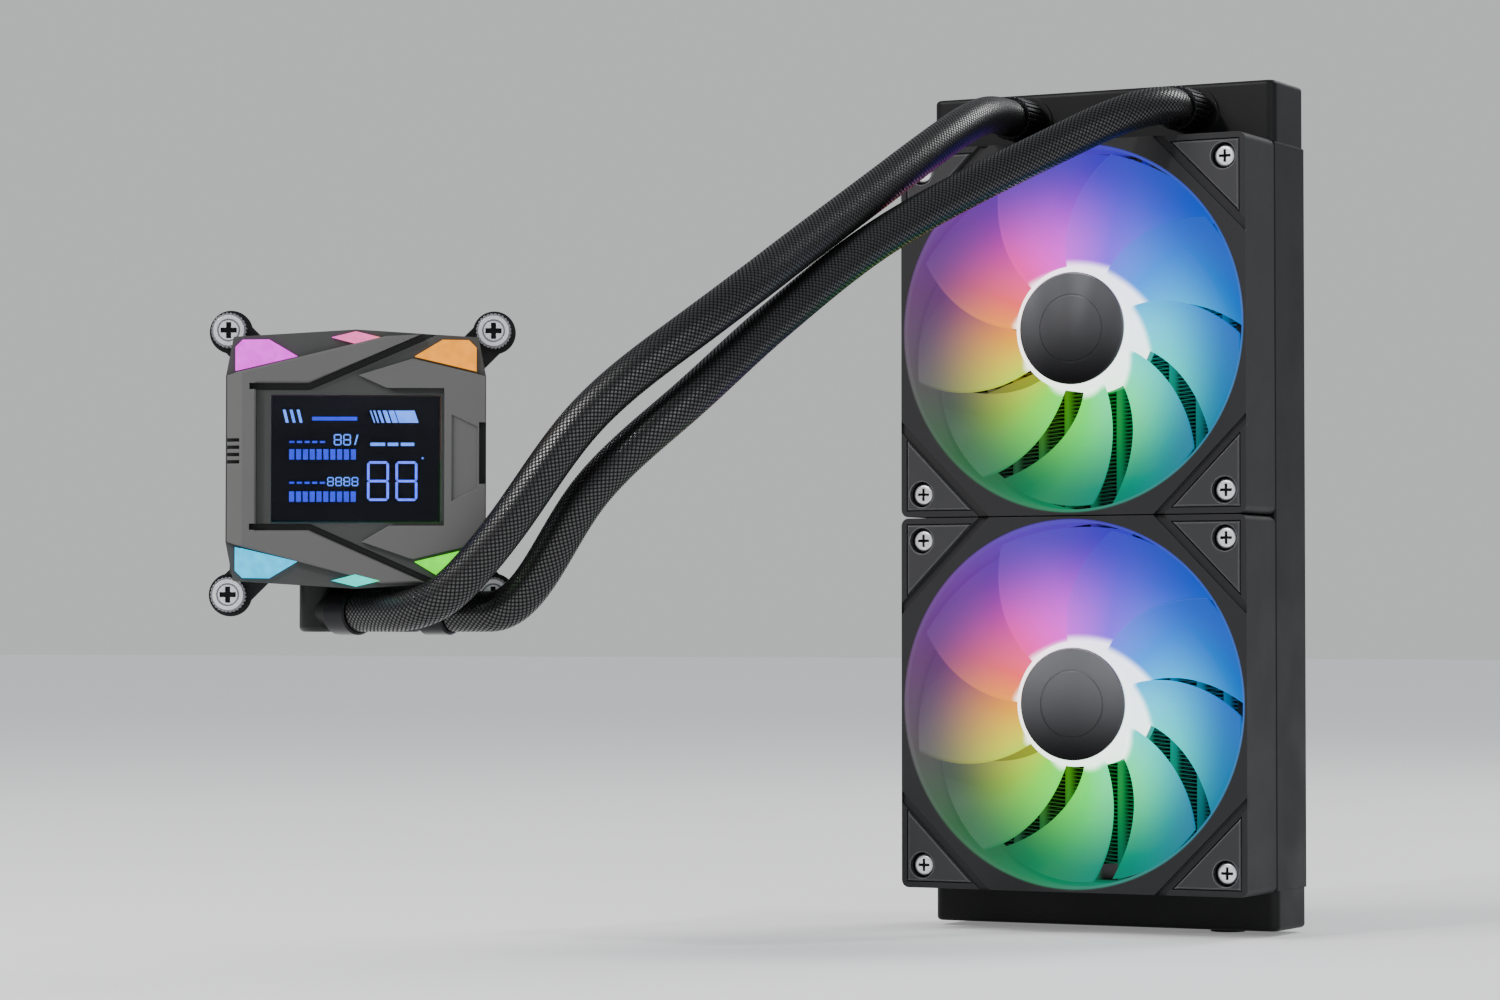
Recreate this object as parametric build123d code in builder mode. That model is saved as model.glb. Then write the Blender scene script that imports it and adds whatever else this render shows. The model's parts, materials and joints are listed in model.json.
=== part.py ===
from build123d import *
import os
from math import cos, radians, sin, sqrt

# A 240 mm closed-loop liquid cooler, in millimetres.
#
# It is a flat radiator with two 120 mm fans on its front, two braided hoses from its upper tank, and a
# pump head with a small display that the hoses feed through two swivel elbows.
#
# Frame: +X to the right, +Y to the back, +Z up. The fans face -Y. The origin is the centre of the
# radiator's screw holes, on its back face, so the radiator lies between Y = -27 and Y = 0.

# ---------------------------------------------------------------- driving dimensions: radiator
RADIATOR_WIDTH = 120.0
RADIATOR_DEPTH = 27.0
CORE_HALF_LENGTH = 119.0
PORT_TANK_TOP = 139.0
RETURN_TANK_BOTTOM = -132.0
SHEET = 1.2
RAIL_FLANGE = 13.0
CORE_DEPTH = 20.0
TUBE_COUNT = 12
TUBE_THICKNESS = 2.0
TUBE_WALL = 0.4
FIN_PITCH = 9.0
FIN_SHEET = 0.25
HEADER_THICKNESS = 1.5
TANK_WALL = 2.0
BOSS_RADIUS = 8.2
PORT_BORE_RADIUS = 4.0
FILL_X = 38.0
FILL_RADIUS = 4.0
FILL_HEAD_RADIUS = 5.6
RAIL_COLLAR_RADIUS = 2.6
RAIL_COLLAR_DEPTH = 3.0
# The room left between neighbouring pieces that touch in the real thing.
FINE_GAP = 0.05

FAN_PITCH = 120.0
FAN_HOLE_SPACING = 105.0
M3_RADIUS = 1.5
M3_CORE_RADIUS = 1.25

# ---------------------------------------------------------------- driving dimensions: fans
FAN_SIZE = 119.6
FAN_DEPTH = 25.0
DUCT_RADIUS = 58.0
FLANGE_DEPTH = 3.5
SKIRT = 1.2
HUB_RADIUS = 20.0
HUB_BORE = 18.0
BLADE_COUNT = 9
BLADE_TIP_RADIUS = 56.7
BLADE_MIDDLE = 13.4
# Each row: radius, sweep angle, chord, slant out of the plane of rotation, thickness.
BLADE_SECTIONS = [
    (19.0, 0, 19.0, 50, 1.9),
    (32.0, 7, 29.0, 38, 1.7),
    (45.0, 17, 38.0, 28, 1.5),
    (59.0, 29, 47.0, 23, 1.3),
]
SHAFT_RADIUS = 1.5
BEARING_RADIUS = 3.0
PAD_INSET = 2.2
PAD_LEG = 22.5
GROOVE_WIDTH = 2.6

# ---------------------------------------------------------------- driving dimensions: hoses
HOSE_BORE = 3.3
HOSE_RADIUS = 5.5
SLEEVE_RADIUS = 6.0
PORT_HEIGHT = 129.5
PORT_X = {"supply": -25.0, "return": 33.0}
COLLAR_LENGTH = 12.0
COLLAR_START = 4.0
COLLAR_RADIUS = 7.1
KNURL_RADIUS = 0.35
SPOUT_FLANGE_RADIUS = 6.8
SPOUT_RADIUS = 3.2
SPOUT_BORE_RADIUS = 2.2
FLEX_GAP = 3.0
SWIVEL_GAP = 1.2
SWIVEL_REACH = 30.0
ELBOW_HOSE_START = 8.5
ELBOW_COLLAR_START = 8.6
ELBOW_COLLAR_LENGTH = 9.0
ELBOW_COLLAR_RADIUS = 6.9
ELBOW_SOCKET_RADIUS = 5.0

# ---------------------------------------------------------------- driving dimensions: pump head
# The pump head's own plane: its local Z is the way the display faces, and its local XY plane is the
# cold plate's contact face. It is turned 30 degrees from the radiator about the vertical.
PUMP_ANGLE = 30.0
PUMP_ORIGIN = (-151.0, -231.0, 13.0)
PUMP = Plane(
    origin=PUMP_ORIGIN,
    x_dir=(cos(radians(PUMP_ANGLE)), sin(radians(PUMP_ANGLE)), 0),
    z_dir=(sin(radians(PUMP_ANGLE)), -cos(radians(PUMP_ANGLE)), 0),
)
COLD_PLATE_SIZE = 58.0
COLD_PLATE_DEPTH = 3.0
BODY_SIZE = 66.0
BODY_TOP = 18.6
SHELL_SIZE = 70.0
SHELL_TOP = 36.0
COVER_TOP = 41.5
UNDER_BAND_TOP = 40.2
COVER_PLATE_TOP = 38.6
DISPLAY_WIDTH = 48.6
DISPLAY_HEIGHT = 36.6
SCREW_SPACING = 78.0
SCREW_HEAD_RADIUS = 5.2
SCREW_HEAD_BOTTOM = 9.5
SCREW_HEAD_TOP = 13.5
SCREW_TIP = -5.0
SCREW_SHANK_RADIUS = 1.75
SCREW_NECK_RADIUS = 2.05
BRACKET_HOLE_RADIUS = 2.3
BRACKET_ARM_WIDTH = 11.0
BRACKET_TAB_RADIUS = 6.4
BRACKET_BOTTOM = 3.05
BRACKET_TOP = 4.55
PORT_SPACING = 24.0
PORT_DEPTH = 12.0
SPIGOT_RADIUS = 4.5
SPIGOT_WEB_WIDTH = 14.0
ELBOW_RADIUS = 6.0
ELBOW_OUTLET_DROP = 44.0
FLAT_LEAD_DEPTH = 24.5
FLAT_LEAD_THICKNESS = 1.6
FLAT_PLUG_THICKNESS = 2.2
FLAT_PLUG_END = -33.0

# Both hoses pass through one vertical line half-way along, where the pair bends.
FLEX_POINT = (-36.3, -184.4)
FLEX_HEIGHT = {"supply": 71.3, "return": 55.3}
# Which way each elbow's outlet turns out of the board plane, towards the display's side.
ELBOW_TURN = {"supply": 45.0, "return": 30.0}
ELBOW_X = {"supply": -PORT_SPACING / 2, "return": PORT_SPACING / 2}
# The hoses' directions where they cross the flex line, and the points they pass on either side.
FLEX_DIRECTION = {"supply": (18.0, 88.0, 50.0), "return": (27.8, 71.4, 52.6)}
RADIATOR_SIDE_POINTS = {
    "supply": [(-27.0, -137.5, 97.3), (-22.0, -97.6, 117.4), (-23.0, -66.0, 127.8)],
    "return": [(-22.6, -146.5, 80.8), (-6.4, -111.7, 100.1), (13.5, -82.1, 117.0), (27.5, -63.0, 126.8)],
}
# These points are in the pump head's own plane.
PUMP_SIDE_POINTS = {
    "supply": [
        (24.0, -40.5, 45.5), (35.0, -30.5, 50.0), (46.0, -16.5, 52.0), (65.5, 10.5, 50.0), (93.6, 35.0, 40.5),
    ],
    "return": [(56.0, -28.0, 37.5), (67.0, -10.5, 41.5), (93.6, 15.2, 38.5)],
}

os.makedirs("parts", exist_ok=True)


def save(name, part):
    """Labels one finished piece and writes it as its own STEP file."""
    part.label = name
    export_step(part, f"parts/{name}.step")


def facing(depth):
    """The plane that faces -Y at this distance in front of the radiator's back face."""
    return Plane.XZ.offset(depth)


# ================================================================ radiator
rail_web_x = RADIATOR_WIDTH / 2 - SHEET
core_width = 2 * rail_web_x
fin_width = (core_width - TUBE_COUNT * TUBE_THICKNESS) / (TUBE_COUNT + 1)
tube_pitch = fin_width + TUBE_THICKNESS
core_front = (RADIATOR_DEPTH - CORE_DEPTH) / 2
header_inner = CORE_HALF_LENGTH - HEADER_THICKNESS
tube_half_length = CORE_HALF_LENGTH + 2.0


def tube_section(grow, mode=Mode.ADD):
    """A flat tube's rounded section, looking along Z, made larger by grow or smaller by a negative grow."""
    SlotOverall(CORE_DEPTH + 2 * grow, TUBE_THICKNESS + 2 * grow, rotation=90, mode=mode)


def tube_places():
    """Where the flat tubes stand side by side across the radiator."""
    return GridLocations(tube_pitch, 1, TUBE_COUNT, 1)


middle_of_core = (0, -RADIATOR_DEPTH / 2)

# Flat coolant tubes, open at both ends, that run the height of the core into both tanks.
with BuildPart() as coolant_tubes:
    with BuildSketch(Plane.XY.offset(-tube_half_length)):
        with Locations(middle_of_core):
            with tube_places():
                tube_section(0)
                tube_section(-TUBE_WALL, mode=Mode.SUBTRACT)
    extrude(amount=2 * tube_half_length)
save("coolant_tubes", coolant_tubes.part)

# One folded strip of fin between each pair of tubes. The folds are coarser than a real core's.
fold_count = int(2 * (header_inner - 1) / FIN_PITCH) * 2
fold_reach = fin_width / 2 - FIN_SHEET - FINE_GAP


def fold_points(side):
    """The zigzag's corners from bottom to top, on the right (+1) or left (-1) skin of the sheet."""
    bottom = -fold_count * FIN_PITCH / 4
    return [
        (fold_reach * (1 if i % 2 else -1) + side * FIN_SHEET, bottom + i * FIN_PITCH / 2)
        for i in range(fold_count + 1)
    ]


with BuildPart() as fin_strip:
    with BuildSketch(facing(core_front + 0.5)):
        with BuildLine():
            Polyline(*fold_points(1), *reversed(fold_points(-1)), close=True)
        make_face()
    extrude(amount=CORE_DEPTH - 1.0)
with BuildPart() as cooling_fins:
    with GridLocations(tube_pitch, 1, TUBE_COUNT + 1, 1):
        add(fin_strip.part)
save("cooling_fins", cooling_fins.part)

# The two slotted plates that the tubes' ends pass through, under each tank.
with BuildPart() as header_plates:
    for height in (header_inner, -CORE_HALF_LENGTH):
        with BuildSketch(Plane.XY.offset(height)):
            with Locations(middle_of_core):
                Rectangle(core_width - 2 * FINE_GAP, RADIATOR_DEPTH - 2 * SHEET - 2 * FINE_GAP)
                with tube_places():
                    tube_section(FINE_GAP, mode=Mode.SUBTRACT)
        extrude(amount=HEADER_THICKNESS)
save("header_plates", header_plates.part)


def build_tank(base, height, direction):
    """A hollow end tank: a rounded box that is open towards the core. direction is +1 up, -1 down."""
    with BuildPart() as tank:
        with BuildSketch(Plane.XY.offset(base)):
            with Locations(middle_of_core):
                RectangleRounded(RADIATOR_WIDTH, RADIATOR_DEPTH, 3.0)
        extrude(amount=direction * height)
        far_face = tank.faces().sort_by(Axis.Z)[-1 if direction > 0 else 0]
        fillet(far_face.edges(), 1.4)
        with BuildSketch(Plane.XY.offset(base)):
            with Locations(middle_of_core):
                RectangleRounded(RADIATOR_WIDTH - 2 * TANK_WALL, RADIATOR_DEPTH - 2 * TANK_WALL, 1.5)
        extrude(amount=direction * (height - TANK_WALL), mode=Mode.SUBTRACT)
    return tank


# The upper tank, with a wall across its middle that parts the hot side from the cooled side.
tank_base = CORE_HALF_LENGTH + FINE_GAP
divider_x = sum(PORT_X.values()) / 2
plain_port_tank = build_tank(tank_base, PORT_TANK_TOP - tank_base, 1)
with BuildPart() as port_tank:
    add(plain_port_tank.part)
    with Locations((divider_x, -RADIATOR_DEPTH / 2, (tube_half_length + PORT_TANK_TOP) / 2)):
        Box(TANK_WALL, RADIATOR_DEPTH - TANK_WALL, PORT_TANK_TOP - tube_half_length - 1.0)
    with BuildSketch(facing(RADIATOR_DEPTH - 0.5)):
        with Locations(*[(x, PORT_HEIGHT) for x in PORT_X.values()]):
            Circle(BOSS_RADIUS)
    extrude(amount=1.5)
    with Locations(*[Location(facing(RADIATOR_DEPTH - 5) * Pos(x, PORT_HEIGHT)) for x in PORT_X.values()]):
        Cylinder(PORT_BORE_RADIUS, 16.0, mode=Mode.SUBTRACT)
save("port_tank", port_tank.part)

# The lower tank, where the coolant turns round, with the factory's filling hole underneath.
plain_return_tank = build_tank(-tank_base, -RETURN_TANK_BOTTOM - tank_base, -1)
with BuildPart() as return_tank:
    add(plain_return_tank.part)
    with Locations((FILL_X, -RADIATOR_DEPTH / 2, RETURN_TANK_BOTTOM)):
        Cylinder(FILL_RADIUS, 8.0, mode=Mode.SUBTRACT)
save("return_tank", return_tank.part)

with BuildPart() as fill_plug:
    with BuildSketch(Plane.XY.offset(RETURN_TANK_BOTTOM)):
        with Locations((FILL_X, -RADIATOR_DEPTH / 2)):
            Circle(FILL_RADIUS - FINE_GAP)
    extrude(amount=TANK_WALL + 1.0)
    with BuildSketch(Plane.XY.offset(RETURN_TANK_BOTTOM)):
        with Locations((FILL_X, -RADIATOR_DEPTH / 2)):
            Circle(FILL_HEAD_RADIUS)
    extrude(amount=-1.2)
    with BuildSketch(Plane.XY.offset(RETURN_TANK_BOTTOM - 1.2)):
        with Locations((FILL_X, -RADIATOR_DEPTH / 2)):
            RegularPolygon(2.3, 6)
    extrude(amount=2.4, mode=Mode.SUBTRACT)
save("fill_plug", fill_plug.part)


def build_rail(side):
    """A folded side channel with four threaded collars on each flange. side is +1 right, -1 left."""
    flange_center = side * (RADIATOR_WIDTH / 2 - RAIL_FLANGE / 2)
    hole_x = side * FAN_HOLE_SPACING / 2
    half_spacing = FAN_HOLE_SPACING / 2
    holes = [
        (hole_x, fan * FAN_PITCH / 2 + end * half_spacing)
        for fan in (-1, 1)
        for end in (-1, 1)
    ]
    with BuildPart() as rail:
        with Locations((side * (RADIATOR_WIDTH - SHEET) / 2, -RADIATOR_DEPTH / 2, 0)):
            Box(SHEET, RADIATOR_DEPTH, 2 * CORE_HALF_LENGTH)
        with Locations((flange_center, -SHEET / 2, 0), (flange_center, SHEET / 2 - RADIATOR_DEPTH, 0)):
            Box(RAIL_FLANGE, SHEET, 2 * CORE_HALF_LENGTH)
        fillet(
            rail.edges().filter_by(Axis.Z).group_by(Axis.X)[-1 if side > 0 else 0],
            SHEET * 0.7,
        )
        for plane in (facing(0), facing(RADIATOR_DEPTH - RAIL_COLLAR_DEPTH)):
            with BuildSketch(plane):
                with Locations(*holes):
                    Circle(RAIL_COLLAR_RADIUS)
            extrude(amount=RAIL_COLLAR_DEPTH)
        # The fans' screws cut their thread in the front collars, so those holes are narrower.
        for depth, radius in ((0, M3_RADIUS), (RADIATOR_DEPTH - RAIL_COLLAR_DEPTH, M3_CORE_RADIUS)):
            with BuildSketch(facing(depth - 1)):
                with Locations(*holes):
                    Circle(radius)
            extrude(amount=RAIL_COLLAR_DEPTH + 2, mode=Mode.SUBTRACT)
    return rail


save("left_side_rail", build_rail(-1).part)
save("right_side_rail", build_rail(1).part)

# Straight barbed spouts, screwed into the upper tank's front, that the hoses push on to.
boss_front = RADIATOR_DEPTH + 1.0
with BuildPart() as port_spouts:
    for x in PORT_X.values():
        with BuildSketch(facing(RADIATOR_DEPTH - 3.0)):
            with Locations((x, PORT_HEIGHT)):
                Circle(PORT_BORE_RADIUS - FINE_GAP)
        extrude(amount=4.0)
        with BuildSketch(facing(boss_front)):
            with Locations((x, PORT_HEIGHT)):
                RegularPolygon(SPOUT_FLANGE_RADIUS, 6)
        extrude(amount=COLLAR_START - 1.0)
        with BuildSketch(facing(boss_front)):
            with Locations((x, PORT_HEIGHT)):
                Circle(SPOUT_RADIUS)
        extrude(amount=COLLAR_START + COLLAR_LENGTH - 2.0)
        with BuildSketch(facing(RADIATOR_DEPTH - 4.0)):
            with Locations((x, PORT_HEIGHT)):
                Circle(SPOUT_BORE_RADIUS)
        extrude(amount=COLLAR_START + COLLAR_LENGTH + 6.0, mode=Mode.SUBTRACT)
save("port_spouts", port_spouts.part)

# Crimped collars that hold the hoses' ends on the spouts, knurled round the outside.
collar_front = RADIATOR_DEPTH + COLLAR_START
with BuildPart() as hose_collars:
    for x in PORT_X.values():
        with BuildSketch(facing(collar_front + FINE_GAP)):
            with Locations((x, PORT_HEIGHT)):
                Circle(COLLAR_RADIUS)
                with PolarLocations(COLLAR_RADIUS, 24):
                    Circle(KNURL_RADIUS, mode=Mode.SUBTRACT)
                Circle(HOSE_RADIUS + FINE_GAP, mode=Mode.SUBTRACT)
        extrude(amount=COLLAR_LENGTH)
save("hose_collars", hose_collars.part)

# ================================================================ fans
fan_corner = FAN_HOLE_SPACING / 2
pad_edge = FAN_SIZE / 2 - PAD_INSET


def fan_plane(center_z):
    """A fan's own plane: its local Z is 0 on the side against the radiator and 25 at its front."""
    return Plane(origin=(0, -RADIATOR_DEPTH, center_z), x_dir=(1, 0, 0), z_dir=(0, -1, 0))


def pad_triangle(gap):
    """The right-angled corner pad in the +X +Y corner, with its edges moved out by gap."""
    near = pad_edge - PAD_LEG - gap * 2.414
    far = pad_edge + gap
    Polygon((far, far), (near, far), (far, near), align=None)


def build_fan_frame(plane):
    """The square moulded frame: a round duct between two flanges, four corner posts and a motor mount."""
    flange_top = FAN_DEPTH - FLANGE_DEPTH
    with BuildPart() as frame:
        with BuildSketch(plane):
            RectangleRounded(FAN_SIZE, FAN_SIZE, 2.5)
            Circle(DUCT_RADIUS, mode=Mode.SUBTRACT)
        extrude(amount=FAN_DEPTH)
        # Hollow corners, open to the back, that leave the duct wall, the skirts and the screw posts.
        with BuildSketch(plane):
            Rectangle(FAN_SIZE - 2 * SKIRT, FAN_SIZE - 2 * SKIRT)
            Circle(DUCT_RADIUS + 1.6, mode=Mode.SUBTRACT)
            with GridLocations(FAN_HOLE_SPACING, FAN_HOLE_SPACING, 2, 2):
                Circle(4.6, mode=Mode.SUBTRACT)
        extrude(amount=flange_top, mode=Mode.SUBTRACT)
        # The duct's mouth flares where the air goes in.
        mouth = frame.edges().filter_by(GeomType.CIRCLE).filter_by(lambda e: abs(e.radius - DUCT_RADIUS) < 0.01)
        chamfer(mouth.sort_by(Axis.Y)[0], 1.2)
        # Corner recesses for the pads, and a deeper diagonal groove beside each one.
        for quarter in range(4):
            turned = Plane(plane * Rot(0, 0, 90 * quarter))
            with BuildSketch(turned.offset(FAN_DEPTH)):
                pad_triangle(0.35)
            extrude(amount=-1.6, mode=Mode.SUBTRACT)
            groove_distance = (2 * pad_edge - PAD_LEG) / 2**0.5 - GROOVE_WIDTH / 2 - 0.5
            with BuildSketch(turned.offset(FAN_DEPTH)):
                with Locations(Location((groove_distance * 0.5**0.5, groove_distance * 0.5**0.5), 45)):
                    Rectangle(GROOVE_WIDTH, 44.0)
                Rectangle(FAN_SIZE - 0.01, FAN_SIZE - 0.01, mode=Mode.INTERSECT)
            extrude(amount=-1.1, mode=Mode.SUBTRACT)
        # Screw holes, sunk at the front so that the heads sit below the pads.
        with Locations(plane.offset(FAN_DEPTH)):
            with GridLocations(FAN_HOLE_SPACING, FAN_HOLE_SPACING, 2, 2):
                CounterBoreHole(2.2, 4.2, 4.2)
        # The motor mount: a plate on four struts, with a tube for the bearing.
        with BuildSketch(plane):
            Circle(HUB_RADIUS)
            with PolarLocations(0, 4, start_angle=20):
                with Locations((DUCT_RADIUS / 2 + 5, 6)):
                    Rectangle(DUCT_RADIUS - 8, 3.4)
            Circle(DUCT_RADIUS + 0.5, mode=Mode.INTERSECT)
        extrude(amount=2.4)
        with BuildSketch(plane):
            Circle(4.3)
        extrude(amount=16.0)
        with BuildSketch(plane.offset(1.2)):
            Circle(BEARING_RADIUS + 0.02)
        extrude(amount=16.0, mode=Mode.SUBTRACT)
    return frame


def build_blade(plane, turn):
    """One swept blade, lofted outwards through four slanted sections from the hub to the tip."""
    with BuildPart() as blade:
        for radius, sweep_angle, chord, slant, thickness in BLADE_SECTIONS:
            angle = radians(turn - sweep_angle)
            tilt = radians(slant)
            section = Plane(
                origin=(radius * cos(angle), radius * sin(angle), BLADE_MIDDLE),
                x_dir=(-sin(angle) * cos(tilt), cos(angle) * cos(tilt), sin(tilt)),
                z_dir=(cos(angle), sin(angle), 0),
            )
            with BuildSketch(Plane(plane * section)):
                SlotOverall(chord, thickness)
        loft()
    return blade


def build_fan_rotor(plane):
    """The frosted hub cup with nine swept blades. The motor's magnet ring sits inside the cup."""
    blades = [build_blade(plane, 360 * i / BLADE_COUNT).part for i in range(BLADE_COUNT)]
    with BuildPart() as rotor:
        for blade in blades:
            add(blade)
        with BuildSketch(plane.offset(3.6)):
            Circle(BLADE_TIP_RADIUS)
            Circle(HUB_RADIUS - 0.5, mode=Mode.SUBTRACT)
        extrude(amount=19.4, mode=Mode.INTERSECT)
        with BuildSketch(plane.offset(4.0)):
            Circle(HUB_RADIUS)
        extrude(amount=19.0)
        crown = rotor.edges().filter_by(GeomType.CIRCLE).sort_by(Axis.Y)[0]
        fillet(crown, 1.5)
        with BuildSketch(plane.offset(4.0)):
            Circle(HUB_BORE)
            Circle(BEARING_RADIUS, mode=Mode.SUBTRACT)
        extrude(amount=17.4, mode=Mode.SUBTRACT)
        with BuildSketch(plane.offset(4.0)):
            Circle(BEARING_RADIUS + 0.1)
        extrude(amount=13.0, mode=Mode.SUBTRACT)
        with BuildSketch(plane.offset(4.0)):
            Circle(SHAFT_RADIUS)
        extrude(amount=18.0, mode=Mode.SUBTRACT)
    return rotor


def build_disc(plane, bottom, top, outer, inner=0.0, notches=0):
    """A plain ring or disc on a plane, from bottom to top, with optional notches round its bore."""
    with BuildPart() as disc:
        with BuildSketch(plane.offset(bottom)):
            Circle(outer)
            if inner:
                Circle(inner, mode=Mode.SUBTRACT)
            if notches:
                with PolarLocations((outer + inner) / 2 + 1.0, notches):
                    Rectangle((outer - inner) / 2, 1.6, mode=Mode.SUBTRACT)
        extrude(amount=top - bottom)
    return disc


def build_hub_cap(plane):
    """The thin metal cap on a fan's hub, with a domed edge and a plain ring pressed into its face."""
    with BuildPart() as cap:
        with BuildSketch(plane.offset(23.05)):
            Circle(18.0)
        extrude(amount=1.1)
        fillet(cap.edges().filter_by(GeomType.CIRCLE).sort_by(Axis.Y)[0], 0.5)
        with BuildSketch(plane.offset(24.15)):
            Circle(11.0)
            Circle(10.4, mode=Mode.SUBTRACT)
        extrude(amount=-0.25, mode=Mode.SUBTRACT)
    return cap


def build_light_board(plane):
    """The ring-shaped circuit board behind a fan's hub, with eight lamps round its edge."""
    with BuildPart() as board:
        with BuildSketch(plane.offset(2.5)):
            Circle(17.0)
            Circle(4.4, mode=Mode.SUBTRACT)
        extrude(amount=0.8)
        with BuildSketch(plane.offset(3.3)):
            with PolarLocations(15.2, 8):
                Rectangle(2.0, 2.0)
        extrude(amount=0.8)
    return board


def build_fan_pads(plane):
    """Four triangular pads that fill a fan frame's corner recesses."""
    with BuildPart() as pads:
        for quarter in range(4):
            turned = Plane(plane * Rot(0, 0, 90 * quarter))
            with BuildSketch(turned.offset(FAN_DEPTH - 1.55)):
                pad_triangle(0)
                with Locations((fan_corner, fan_corner)):
                    Circle(4.2, mode=Mode.SUBTRACT)
            extrude(amount=1.7)
        front_faces = pads.faces().filter_by(Axis.Y).group_by(Axis.Y)[0]
        chamfer(front_faces.edges().filter_by(GeomType.LINE), 0.35)
    return pads


def build_fan_screws(plane):
    """Four long cross-head screws that hold a fan to the radiator's front flanges."""
    head_bottom = FAN_DEPTH - 4.2
    with BuildPart() as screws:
        with BuildSketch(plane.offset(-3.6)):
            with GridLocations(FAN_HOLE_SPACING, FAN_HOLE_SPACING, 2, 2):
                Circle(M3_CORE_RADIUS - FINE_GAP)
        extrude(amount=3.7)
        with BuildSketch(plane.offset(0.1)):
            with GridLocations(FAN_HOLE_SPACING, FAN_HOLE_SPACING, 2, 2):
                Circle(M3_RADIUS - FINE_GAP)
        extrude(amount=head_bottom)
        with BuildSketch(plane.offset(head_bottom + 0.02)):
            with GridLocations(FAN_HOLE_SPACING, FAN_HOLE_SPACING, 2, 2):
                Circle(3.7)
        extrude(amount=2.9)
        fillet(screws.edges().filter_by(GeomType.CIRCLE).group_by(Axis.Y)[0], 1.3)
        with BuildSketch(plane.offset(head_bottom + 3.0)):
            with GridLocations(FAN_HOLE_SPACING, FAN_HOLE_SPACING, 2, 2):
                Rectangle(4.0, 0.9)
                Rectangle(0.9, 4.0)
        extrude(amount=-1.9, mode=Mode.SUBTRACT)
    return screws


def build_fan_cable(plane):
    """A fan's flat lead, which leaves the frame's left side and runs down to a small plug."""
    left = -FAN_SIZE / 2 - FINE_GAP
    with BuildPart() as cable:
        with BuildLine(plane) as lead:
            FilletPolyline((left, -30, 8), (left - 3.0, -30, 8), (left - 3.0, -46, 8), radius=2.0)
        route = lead.wire()
        with BuildSketch(Plane(origin=route @ 0, x_dir=(0, 1, 0), z_dir=route % 0)):
            RectangleRounded(5.0, 1.6, 0.7)
        sweep(path=route)
        with Locations(Location(plane * Pos(left - 3.0, -51.0, 8))):
            Box(3.6, 10.0, 8.0)
    return cable


fan_planes = {"upper": fan_plane(FAN_PITCH / 2), "lower": fan_plane(-FAN_PITCH / 2)}
for name, plane in fan_planes.items():
    save(f"{name}_fan_frame", build_fan_frame(plane).part)
    save(f"{name}_fan_rotor", build_fan_rotor(plane).part)
    save(f"{name}_fan_hub_cap", build_hub_cap(plane).part)
    save(f"{name}_fan_magnet_ring", build_disc(plane, 5.0, 19.0, HUB_BORE - FINE_GAP, 14.4).part)
    save(f"{name}_fan_shaft", build_disc(plane, 2.6, 22.0, SHAFT_RADIUS).part)


def save_pair(name, builder):
    """Writes the upper and the lower fan's copies of a fixed piece as one file of separate solids."""
    pieces = [builder(plane).part for plane in fan_planes.values()]
    with BuildPart() as pair:
        for piece in pieces:
            add(piece)
    save(name, pair.part)


save_pair("fan_bearings", lambda plane: build_disc(plane, 1.25, 15.8, BEARING_RADIUS, SHAFT_RADIUS + 0.04))
save_pair("fan_motor_coils", lambda plane: build_disc(plane, 6.0, 14.0, 13.4, 4.35, notches=6))
save_pair("fan_light_boards", build_light_board)
save_pair("fan_corner_pads", build_fan_pads)
save_pair("fan_screws", build_fan_screws)
save_pair("fan_cables", build_fan_cable)

# ================================================================ hoses
straight_front = RADIATOR_DEPTH + COLLAR_START + COLLAR_LENGTH + 3.0


def from_pump(point):
    """Turns a point in the pump head's own plane into the shared frame."""
    return PUMP.from_local_coords(Vector(*point))


def flex_end(side, step):
    """The point this far along a hose from the flex line; the hose runs towards the radiator."""
    middle = Vector(*FLEX_POINT, FLEX_HEIGHT[side])
    return middle + Vector(*FLEX_DIRECTION[side]).normalized() * step


def elbow_point(side, reach):
    """The point this far from an elbow's swivel line along its outlet."""
    turn = radians(ELBOW_TURN[side])
    return from_pump((
        ELBOW_X[side] + reach * cos(turn),
        -ELBOW_OUTLET_DROP,
        PORT_DEPTH + reach * sin(turn),
    ))


def radiator_side_line(side):
    """The centre line from a spout to just before the flex line."""
    x = PORT_X[side]
    first = Vector(x, -collar_front - 0.3, PORT_HEIGHT)
    bend = Vector(x, -straight_front, PORT_HEIGHT)
    points = [bend, *[Vector(*p) for p in reversed(RADIATOR_SIDE_POINTS[side])], flex_end(side, FLEX_GAP / 2)]
    outward = -Vector(*FLEX_DIRECTION[side]).normalized()
    with BuildLine() as line:
        Line(first, bend)
        Spline(*points, tangents=(Vector(0, -1, 0), outward), tangent_scalars=(1, 1))
    return line.wire()


def pump_side_line(side):
    """The centre line from just past the flex line down to an elbow."""
    turn = radians(ELBOW_TURN[side])
    outlet = elbow_point(side, SWIVEL_REACH + SWIVEL_GAP / 2)
    outlet_direction = from_pump((cos(turn), 0, sin(turn))) - from_pump((0, 0, 0))
    points = [outlet, *[from_pump(p) for p in PUMP_SIDE_POINTS[side]], flex_end(side, -FLEX_GAP / 2)]
    inward = Vector(*FLEX_DIRECTION[side]).normalized()
    with BuildLine() as line:
        Spline(*points, tangents=(outlet_direction, inward), tangent_scalars=(1, 1))
    return line.wire()


def elbow_side_line(side):
    """The short straight centre line on an elbow's outlet."""
    with BuildLine() as line:
        Line(elbow_point(side, ELBOW_HOSE_START), elbow_point(side, SWIVEL_REACH - SWIVEL_GAP / 2))
    return line.wire()


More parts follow.
